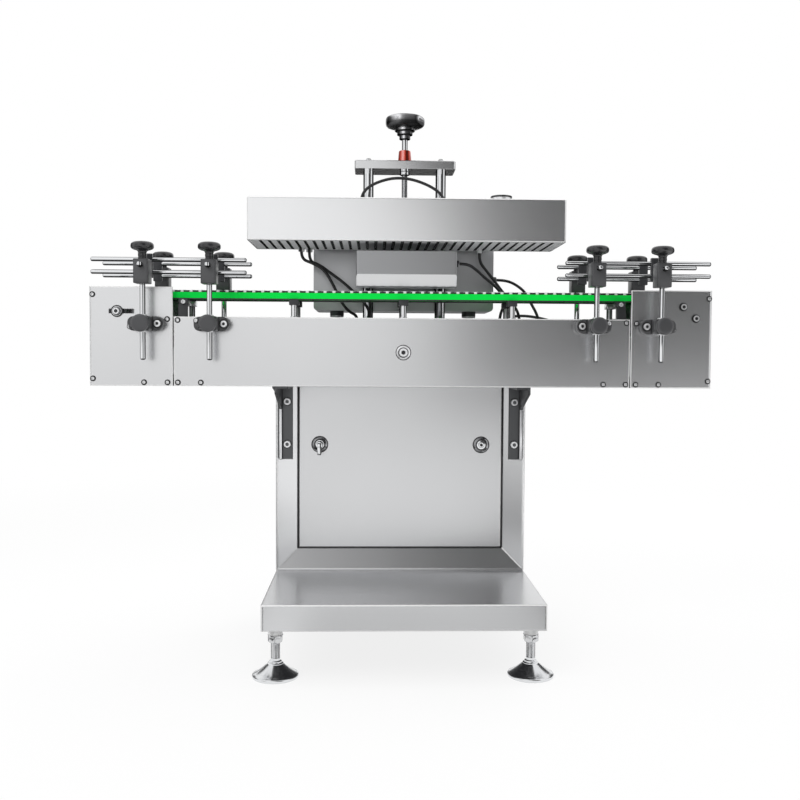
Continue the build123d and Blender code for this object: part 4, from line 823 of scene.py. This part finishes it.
s = railSet
for setName, (sideX, sideY) in corners.items():
    posts, blocks, rails, holders, knobs = [], [], [], [], []
    facing = "-y" if sideY < 0 else "y"
    y = laneY + sideY * s["postOut"]
    near, far = s["armOut"]
    for place, pinSide in (("inner", 1), ("outer", -1)):
        x = sideX * s[place]
        addClamp(clampSet, x, y, sideX, sideY, pinSide * clampSet["pinUp"], facing)
        posts.append(placed(rod(s["postZ"][1] - s["postZ"][0], 6, 4), (x, y, s["postZ"][0])))
        halfX, halfY = s["blockHalf"]
        blocks.append(brick((x - halfX, x + halfX), (y - halfY, y + halfY), s["blockZ"], "z", 4, 1.8))
        rails.append(placed(rod(far - near + 4, 6, 5), (x, laneY + sideY * (near - 4), s["armZ"]), facing))
        holders.append(brick((x - s["holderHalf"], x + s["holderHalf"]), outRange(sideY, *s["holderOut"]),
                             s["holderZ"], "x", 3, 1.2))
        knob = lathed(topKnob, 56, (x, y, 0))
        if sideY > 0:
            knobs.append(knob)
        else:
            knobName = f"{setName}_{place}_knob"
            makePiece(f"{setName}_{place}_grip", [knob], "knob nylon", knobName, knobName)
    railStart = s["railNear"][1] if sideX > 0 else -s["railFar"]
    for z in s["railZ"]:
        rails.append(placed(rod(s["railFar"] - s["railNear"][sideX], 5, 4),
                            (railStart, laneY + sideY * s["railOut"], z), "x"))
    stand, rail = setName + "_stand", setName + "_rail"
    makePiece(setName + "_posts", posts, "chrome", stand, setName + "_rail_stand")
    makePiece(setName + "_cross_blocks", blocks, "block nylon", stand)
    if knobs:
        makePiece(setName + "_knobs", knobs, "knob nylon", stand)
    makePiece(setName + "_rails", rails, "chrome", rail, setName + "_guide_rail")
    makePiece(setName + "_holders", holders, "dark nylon", rail)
makePiece("clamp_bodies", clampBodies, "block nylon", stands="post_clamps")
makePiece("clamp_discs", clampDiscs, "disc nylon")
makePiece("clamp_bolts", clampBolts, "bright zinc")
print("guide rails made")

# lift: columns, screw, collar and hand knob; half is from the middle to a column's axis
cabinetTop = 740
liftSet = dict(x=7, y=78, half=88, column=25, plateLow=1136, plateTop=1156, boltCircle=20, flangeTop=751,
               threadLow=954, thread=(173, 7, 2.5), nutLow=1127.7, shank=(1133, 116, 6.9))
s = liftSet
low, top, r = s["plateLow"], s["plateTop"], s["column"] / 2
flange = [(0, cabinetTop), (25.4, cabinetTop), (26, cabinetTop + 0.6), (26, 749), (24, 751.4), (17, 752),
          (14, 754), (r, 757), (r, low), (0, low)]
columnShapes, columnBolts = [], []
for side in (-1, 1):
    x, y = s["x"] + side * s["half"], s["y"]
    columnShapes.append(lathed(flange, 48, (x, y, 0)))
    quarter = np.pi / 4 + np.arange(4) * np.pi / 2
    for boltX, boltY in zip(x + s["boltCircle"] * np.cos(quarter), y + s["boltCircle"] * np.sin(quarter)):
        columnBolts.append(placed(socketBolt(7, 4), (boltX, boltY, s["flangeTop"])))
    columnBolts += [placed(washer(25, 1.6), (x, y, top)), placed(hexNut(19, 6.4), (x, y, top + 1.4)),
                    placed(rod(6, 5.2, 1), (x, y, top + 6))]
makePiece("column_bars", columnShapes, "chrome", stands="guide_columns")
makePiece("column_bolts", columnBolts, "screw steel")
x, y = s["x"], s["y"]
shankLow, shankLong, shankRadius = s["shank"]
screwShapes = [placed(threaded(*s["thread"], starts=4, depth=0.7), (x, y, s["threadLow"])),
               placed(rod(8, 12, 1), (x, y, s["nutLow"])),
               placed(rod(shankLong, shankRadius, 0.5), (x, y, shankLow))]
makePiece("lift_screw", screwShapes, "chrome", "hand_screw", "lead_screw")
collar = [(0, 1156.3), (15.6, 1156.3), (16.5, 1157.4), (16.4, 1160), (14.6, 1183.4), (13.8, 1185.8),
          (12.2, 1186.8), (0, 1186.8)]
makePiece("red_collar", [lathed(collar, 56, (x, y, 0))], "red anodised", "hand_screw", "screw_collar")
neck = [(0, 1214), (12.8, 1214), (13.5, 1214.8), (13.5, 1221.8), (12.6, 1222.4), (12.6, 1224),
        (18.2, 1224.4), (19, 1225.2), (19, 1230.8), (17.6, 1231.4), (17.6, 1233), (23.6, 1233.4),
        (24.5, 1234.2), (24.5, 1240), (0, 1241)]
lobes = 1 + 0.012 * (np.cos(7 * np.arange(112) * tau / 112) - 1)      # seven shallow waves round the grip
cap = [(27, 1240.4), (37, 1242), (43.4, 1244.4), (46.8, 1247.8), (48, 1252), (48, 1259), (47.4, 1262.6),
       (45, 1265.8), (41, 1267.8), (36, 1268.8), (20, 1269.8), (17, 1269.6), (15, 1268.8), (0, 1268.8)]
cap = [(0, 1240)] + [(radius * lobes, height) for radius, height in cap]
makePiece("hand_knob_grip", [lathed(cap, 112, (x, y, 0))], "dark chrome", "hand_screw", "hand_knob")
makePiece("hand_knob_neck", [lathed(neck, 64, (x, y, 0))], "neck chrome", "hand_screw")
# dark discs in the neck's two grooves: painted shade
shadeRingShapes = [shadeDisc(d, (x, y, z), "z", h) for d, z, h in ((27.2, 1221.8, 2.4), (38.4, 1231, 2.2))]
makePiece("hand_knob_rings", shadeRingShapes, "rubber", "hand_screw")
print("lift made")

# quarter-turn locks of the door: the left one has a wing key, the right one a socket
lockSet = dict(x=196, z=473, rosetteY=41.9, shaftY=36.6, barHalf=9, barY=(59.8, 62.8), barZ=(-69, 9),
               keyHalf=4.5, keyY=(11.2, 24), keyZ=(-23.5, 5.5))
s = lockSet
rosette = [(0, 0), (18.6, 0), (19, 0.6), (18.4, 2.4), (16, 3.8), (13.4, 4.4), (12.2, 3.6), (11.6, 3.6),
           (11, 4.6), (10.2, 5), (0, 5)]
for side, lock in ((-1, "left_lock"), (1, "right_lock")):
    x, z = side * s["x"], s["z"]
    barX, keyX = ((x - half, x + half) for half in (s["barHalf"], s["keyHalf"]))
    barZ, keyZ = ([z + step for step in s[key]] for key in ("barZ", "keyZ"))
    makePiece(lock + "_rosette", [lathed(rosette, 56, (x, s["rosetteY"], z), "-y")], "lock steel", lock)
    lockShapes = [placed(rod(24, 11, 0.8), (x, s["shaftY"], z), "y"),
                  brick(barX, s["barY"], barZ, "y", 6, 0.6)]
    # dark discs behind the rosette and in its dip, and in the right one's socket: painted shade
    shadeRingShapes = [shadeDisc(41, (x, s["rosetteY"] + 0.05, z), "-y", 1), shadeDisc(25, (x, 39, z), "-y", 1.6)]
    if side < 0:
        lockShapes += [placed(rod(20, 9, 2), (x, 38, z), "-y"),
                       brick(keyX, s["keyY"], keyZ, "x", 4, 1.6)]
    else:
        lockShapes.append(placed(socketBolt(14, 3.6, 0.55), (x, 37.4, z), "-y"))
        shadeRingShapes.append(shadeDisc(7, (x, 35.6, z), "-y"))
    makePiece(lock + "_parts", lockShapes, "chrome", lock, lock.replace("lock", "door_lock"))
    makePiece(lock + "_rings", shadeRingShapes, "rubber", lock)

# black edge strip round the door
trimSet = dict(half=248.6, inner=245.2, low=220.1, high=617.4, y=(41.2, 43.4))
s = trimSet
band = s["half"] - s["inner"]
low, high, half = s["low"], s["high"], s["half"]
trimShapes = [brick(sorted((side * s["inner"], side * half)), s["y"], (low, high), "z", 0.6, 0.4)
              for side in (-1, 1)]
trimShapes += [brick((-half, half), s["y"], zRange, "x", 0.6, 0.4)
               for zRange in ((low, low + band), (high - band, high))]
makePiece("door_trim", trimShapes, "rubber", "door")
print("locks made")

# controls on the far side of the control box
panelSet = dict(face=210, stopX=-143, speedX=47, z=869, windowX=(-143.5, 17.5), windowZ=(928.5, 999.5),
                screwX=(-191, 205), screwZ=(823, 1012))
s = panelSet
face, z = s["face"], s["z"]
button = [(0, 0), (19, 0), (20, 1), (20, 6), (19.4, 9), (17.4, 12), (14, 13.6), (7, 14), (0, 14)]
buttonShapes = [lathed(button, 56, (s["stopX"], face + 8, z), "y"),
                placed(rod(38, 11, 0.6), (s["stopX"], face - 30, z), "y")]
makePiece("stop_button_cap", buttonShapes, "red plastic", "stop_button", "emergency_stop")
ripple = 12 - 0.55 * (1 + np.cos(18 * np.arange(72) * tau / 72)) / 2      # eighteen grips round the dial
dial = [(0, 0.3), (17, 0.3), (17, 2.2), (16, 3), (ripple, 3.6), (ripple, 18.4), (10.6, 19.8), (0, 20)]
speedShapes = [lathed(dial, 72, (s["speedX"], face, z), "y"),
               placed(rod(16, 5, 0.5), (s["speedX"], face - 16, z), "y")]
makePiece("speed_dial_grip", speedShapes, "polished black", "speed_dial", "speed_knob")
mark = brick((s["speedX"] - 0.8, s["speedX"] + 0.8), (face + 19, face + 20.6), (z + 1, z + 10.5), "y", 0.5,
             0.2)
makePiece("speed_dial_mark", [mark], "pale acetal", "speed_dial")
window = brick(s["windowX"], (face + 3.5, face + 4.5), s["windowZ"], "y", 3, 0.3)
makePiece("panel_window", [window], "dark glass", "head")
panelShapes = [placed(buttonHead(8, 2.4), (x, face, height), "y")
               for x in s["screwX"] for height in s["screwZ"]]
makePiece("panel_screws", panelShapes, "screw steel", "head")
stopRing = [(0, 0.1), (23, 0.1), (23.4, 0.6), (23, 2), (21.5, 2.8), (0, 2.8)]
makePiece("stop_ring", [lathed(stopRing, 48, (s["stopX"], face, z), "y")], "disc nylon", "head")
print("controls made")

# grommets of the head's cables, lid cap and glands
grommet = [(0, 0), (8.6, 0), (8.9, 0.6), (8.2, 2.2), (7.8, 4), (7.8, 6.6), (6.8, 8.3), (0, 8.3)]
lidRing = [(0, 0), (23.4, 0), (23.6, 0.6), (23.6, 6.4), (0, 6.4)]
lid = [(0, 6.2), (24, 6.2), (24.4, 6.8), (24.4, 9.6), (23.2, 10.6), (0, 10.8)]
lidPlace = (221, -95, 1040)
plug = [(0, 0), (17.2, 0), (17.2, 11), (15.6, 14), (11, 15.4), (0, 15.4)]
flatGrommet = [(r * 0.68, h * 0.7) for r, h in grommet]
longGrommet = [(r, h * 1.25) for r, h in grommet]
headRubber = [lathed(grommet, 32, (x, 25, 1040)) for x in (-98, 100)]
headRubber += [lathed(flatGrommet, 32, (x, y, 944), "-z") for x, y in ((-240, 30), (-222, 42), (187, 36))]
headRubber += [lathed(longGrommet, 32, place, "x") for place in ((121, -40, 903), (229, 120, 879))]
makePiece("head_grommets", headRubber, "rubber", "head")
makePiece("lid_cap", [lathed(lid, 56, lidPlace)], "knob nylon", "head")
makePiece("lid_cap_ring", [lathed(lidRing, 56, lidPlace)], "bright zinc", "head")
makePiece("control_plugs", [lathed(plug, 48, (x, 116, 799), "-z") for x in (-158, 170)], "dark nylon", "head")


def glandShape(size, length):
    # hexagon foot, turned body and a domed nut with shallow grips
    grips = size * 0.46 - 0.4 * (1 + np.cos(12 * np.arange(48) * tau / 48)) / 2
    return turned([(0, 0), (hexagon(size, 48), 0.2), (hexagon(size, 48), 0.36 * length),
                   (size * 0.42, 0.4 * length), (grips, 0.46 * length), (grips, 0.8 * length),
                   (size * 0.34, 0.97 * length), (size * 0.3, length), (0, length)], 48)


glandPlaces = [(-104, 40), (-74, 40), (236, 32), (288, 45), (262, 66)]      # on the cabinet's top
glandShapes = [placed(glandShape(17, 14), (x, y, cabinetTop)) for x, y in glandPlaces]
glandShapes += [placed(glandShape(17, 12), (300, 80, 715), "x"),
                placed(glandShape(22, 14), (-300, 250, 250), "-x")]
makePiece("cabinet_glands", glandShapes, "dark nylon", stands="cable_glands")
print("glands made")

# take-up bolts over the slots, and bolts of the brackets
takeUpSet = dict(x=-638, z=784, faces=((-122.3, -122.2, "-y", -1), (-1.7, -1.8, "y", 1)))
bracketSet = dict(x=272, y=13, boltZ=(578, 476), rib=(284.2, 290.2), ribY=(1.4, 3), ribZ=(441, 561),
                  foot=(259, 290.2), footY=(12.2, 18.8), footZ=(438.6, 440.4))
takeUpRing = [(0, 0), (10.8, 0), (11.2, 0.6), (11.2, 2), (10.2, 2.9), (8.4, 2.5), (0, 2.5)]
takeUpShapes, takeUpShadeRings = [], []
x, z = takeUpSet["x"], takeUpSet["z"]
for y, ringY, axis, sign in takeUpSet["faces"]:
    takeUpShapes += [lathed(takeUpRing, 48, (x, y, z), axis),
                     placed(socketBolt(15.4, 7.6, 0.5), (x, y + sign * 2.4, z), axis)]
    # dark discs under the ring and in the socket: painted shade
    takeUpShadeRings += [shadeDisc(27, (x, ringY, z), axis, 1.4), shadeDisc(6.4, (x, ringY + sign * 5.6, z), axis)]
makePiece("take_up_bolts", takeUpShapes, "bright zinc", "take_up")
makePiece("take_up_rings", takeUpShadeRings, "rubber", "take_up")
bracketShapes, ribHighlightShapes = [], []
s = bracketSet
for side in (-1, 1):
    # two bolts with dark discs of painted shade, and painted highlights along the bracket's rib and foot
    x = side * s["x"]
    for z in s["boltZ"]:
        bracketShapes.append(placed(socketBolt(17.6, 7.4, 0.46), (x, s["y"], z), "-y"))
        shadeDiscShapes += [shadeDisc(21, (x, s["y"], z), "-y", 1), shadeDisc(7.4, (x, s["y"] - 3.6, z), "-y")]
    rib, foot = (sorted((side * s[key][0], side * s[key][1])) for key in ("rib", "foot"))
    ribHighlightShapes += [brick(rib, s["ribY"], s["ribZ"], "z", 0.6, 0.4),
                  brick(foot, s["footY"], s["footZ"], "y", 0.6, 0.4)]
makePiece("bracket_bolts", bracketShapes, "bright zinc")
makePiece("bracket_edge_highlights", ribHighlightShapes, "bright zinc")
# dark discs under the heads and in the sockets of all these bolts and screws: painted shade
makePiece("seal_rings", shadeDiscShapes, "rubber")
print("bracket and take-up bolts made")

# gear motor behind the right housing
motorSet = dict(x=638, z=784, fins=30, radius=40, finDepth=5, gearHalf=43, gearY=(64, 114), boltHalf=34,
                box=((582, 618), (154, 204), (760, 808)), gland=(582, 179, 784))


def finnedRadius(s, segments=240):
    # ribs round the shell: the radius drops between fins as a steep even wave
    turn = np.arange(segments) * tau / segments
    wave = np.clip(2.2 * np.cos(s["fins"] * turn), -1, 1)
    return s["radius"] - s["finDepth"] * (1 - wave) / 2


s = motorSet
x, z, half = s["x"], s["z"], s["gearHalf"]
ribs = finnedRadius(s)
shell = [(0, 114), (38, 114), (38, 121), (s["radius"] - 5.5, 122), (ribs, 123), (ribs, 212), (34.5, 213),
         (39.4, 213.6), (40, 215), (40, 227), (38, 230), (33, 231), (33, 235), (31, 236), (0, 236)]
nose = [(0, 0), (26, 0), (26, 50), (29, 58), (33, 66.5), (0, 66.5)]
motorShapes = [lathed(shell, 240, (x, 0, z), "y"),
               brick((x - half, x + half), s["gearY"], (z - half, z + half), "y", 10, 2.5),
               lathed(nose, 56, (x, sides[1][0], z), "y"), brick(*s["box"], "x", 5, 2)]
boltSteps = (-s["boltHalf"], s["boltHalf"])
boltShapes = [placed(socketBolt(9, 4), (x + a, s["gearY"][0] + 0.5, z + b), "-y")
              for a in boltSteps for b in boltSteps]
makePiece("motor_body", motorShapes, "grey enamel", stands="gear_motor")
makePiece("motor_bolts", boltShapes, "screw steel")
makePiece("motor_gland", [placed(glandShape(16, 12), s["gland"], "-x")], "dark nylon")
print("motor made")

# floor, cards, lights and world
stageSet = dict(reach=9, ambient=0.52, floorGlow=0.84, floorDye=0.17, mirroredDye=0.75, fade=(1.3, 3.6),
                aim=(0, 0, 0.7))


def flatPlane(name, corners, material):
    # one face with four corners that belongs to the stage
    mesh = bpy.data.meshes.new(name)
    mesh.from_pydata(corners, [], [(0, 1, 2, 3)])
    mesh.materials.append(material)
    plane = intoScene(name, mesh)
    return plane


def seenDirectly(finish):
    # 1 for rays from the camera, a mirror or through glass
    path = [finish.add("LightPath", output=f"Is {kind} Ray") for kind in ("Camera", "Glossy", "Transmission")]
    return finish.add("Math", {"operation": "ADD", "use_clamp": True}, {0: path[0] + path[1], 1: path[2]})


def glow(finish, strength):
    # white light of that strength from the surface itself
    return finish.add("Emission", None, {"Color": grey(1), "Strength": strength})


def makeFloor(s):
    # what is seen is pale near the sealer and pure white far off; the light that it throws back is plain
    finish = Finish(bpy.data.materials.new("floor"))
    place = finish.add("TexCoord", output="Object")
    away = finish.add("VectorMath", {"operation": "LENGTH"}, {0: place}, "Value")
    near, far = s["fade"]
    fade = finish.add("MapRange", {"interpolation_type": "SMOOTHSTEP"},
                      {"Value": away, "From Min": near, "From Max": far})
    matte = finish.add("BsdfDiffuse", None, {"Color": grey(s["floorDye"])})
    both = finish.add("AddShader", None, {0: matte, 1: glow(finish, s["floorGlow"])})
    shown = finish.add("MixShader", None, {0: fade, 1: both, 2: glow(finish, 1.0)})
    lit = finish.add("BsdfDiffuse", None, {"Color": grey(s["mirroredDye"])})
    shader = finish.add("MixShader", None, {0: seenDirectly(finish), 1: lit, 2: shown})
    finish.add("OutputMaterial", None, {"Surface": shader})
    r = s["reach"]
    flatPlane("floor", [(-r, -r, 0), (r, -r, 0), (r, r, 0), (-r, r, 0)], finish.owner)


makeFloor(stageSet)

# cards that only mirrors see, for the light and dark bands on the steel: x, y and z ranges and glow
frontWall, justOver = (-4, -4), (0.002, 0.002)
cardSets = {
    "front_card": ((0.45, 3.4), frontWall, (0.3, 8), 0.09),
    "upper_card": ((0.14, 0.45), frontWall, (1.75, 8), 0.09),
    "middle_card": ((-1.1, 0.14), frontWall, (2.4, 8), 0.40),
    "left_card": ((-8, -4.4), frontWall, (0, 5), 0.50),
    "low_card": ((-2.4, 0.45), frontWall, (0.3, 0.58), 0.66),
    "back_card": ((-5.5, -0.45), (4, 4), (0.3, 0.9), 0.07),
    "left_side_card": ((-3, -3), (0.25, 4), (0.2, 2.4), 0.06),
    "right_side_card": ((3, 3), (0.25, 4), (0.2, 2.4), 0.06),
    "rear_floor_card": ((-5, 5), (0.5, 14), justOver, 0.05),
    "front_floor_card": ((-0.25, 0.42), (-1.15, -0.45), justOver, 0.72),
    "left_floor_card": ((-1.0, -0.42), (-1.4, -0.35), justOver, 0.05),
    "right_floor_card": ((0.42, 1.0), (-1.4, -0.35), justOver, 0.05),
    "far_left_card": ((-2.8, -1.0), (-2.3, -0.1), justOver, 0.5),
    "far_right_card": ((1.0, 2.8), (-2.3, -0.1), justOver, 1.6),
}
for name, (x, y, z, level) in cardSets.items():
    cardFinish = Finish(bpy.data.materials.new(name))
    cardFinish.add("OutputMaterial", None, {"Surface": glow(cardFinish, level)})
    # a card lies flat where its z range is one height, and stands upright elsewhere
    if z[0] == z[1]:
        rim = [(x[0], y[0], z[0]), (x[1], y[0], z[0]), (x[1], y[1], z[0]), (x[0], y[1], z[0])]
    else:
        rim = [(x[0], y[0], z[0]), (x[1], y[1], z[0]), (x[1], y[1], z[1]), (x[0], y[0], z[1])]
    card = flatPlane(name, rim, cardFinish.owner)
    for rays in ("camera", "diffuse", "shadow", "transmission"):
        setattr(card, "visible_" + rays, False)

worldFinish = Finish(bpy.data.worlds.new("studio"))
bpy.context.scene.world = worldFinish.owner
ambient, white = (worldFinish.add("Background", None, {"Color": grey(1), "Strength": strength})
                  for strength in (stageSet["ambient"], 1.0))
sky = worldFinish.add("MixShader", None, {0: seenDirectly(worldFinish), 1: ambient, 2: white})
worldFinish.add("OutputWorld", None, {"Surface": sky})

# lamps: place, side of the square and power
lampSets = {
    "key_light": ((-1.9, -2.4, 3.0), 2.4, 52),
    "top_light": ((0.2, 0.1, 3.4), 2.2, 26),
    "back_light": ((1.8, 2.6, 2.6), 2.2, 34),
}
for name, (spot, size, power) in lampSets.items():
    data = bpy.data.lights.new(name, "AREA")
    data.shape = "SQUARE"
    data.size = size
    data.energy = power
    lamp = intoScene(name, data)
    lamp.location = spot
    lamp.visible_glossy = False
    lamp.rotation_euler = (Vector(stageSet["aim"]) - Vector(spot)).to_track_quat("-Z", "Y").to_euler()
print("floor and light set")
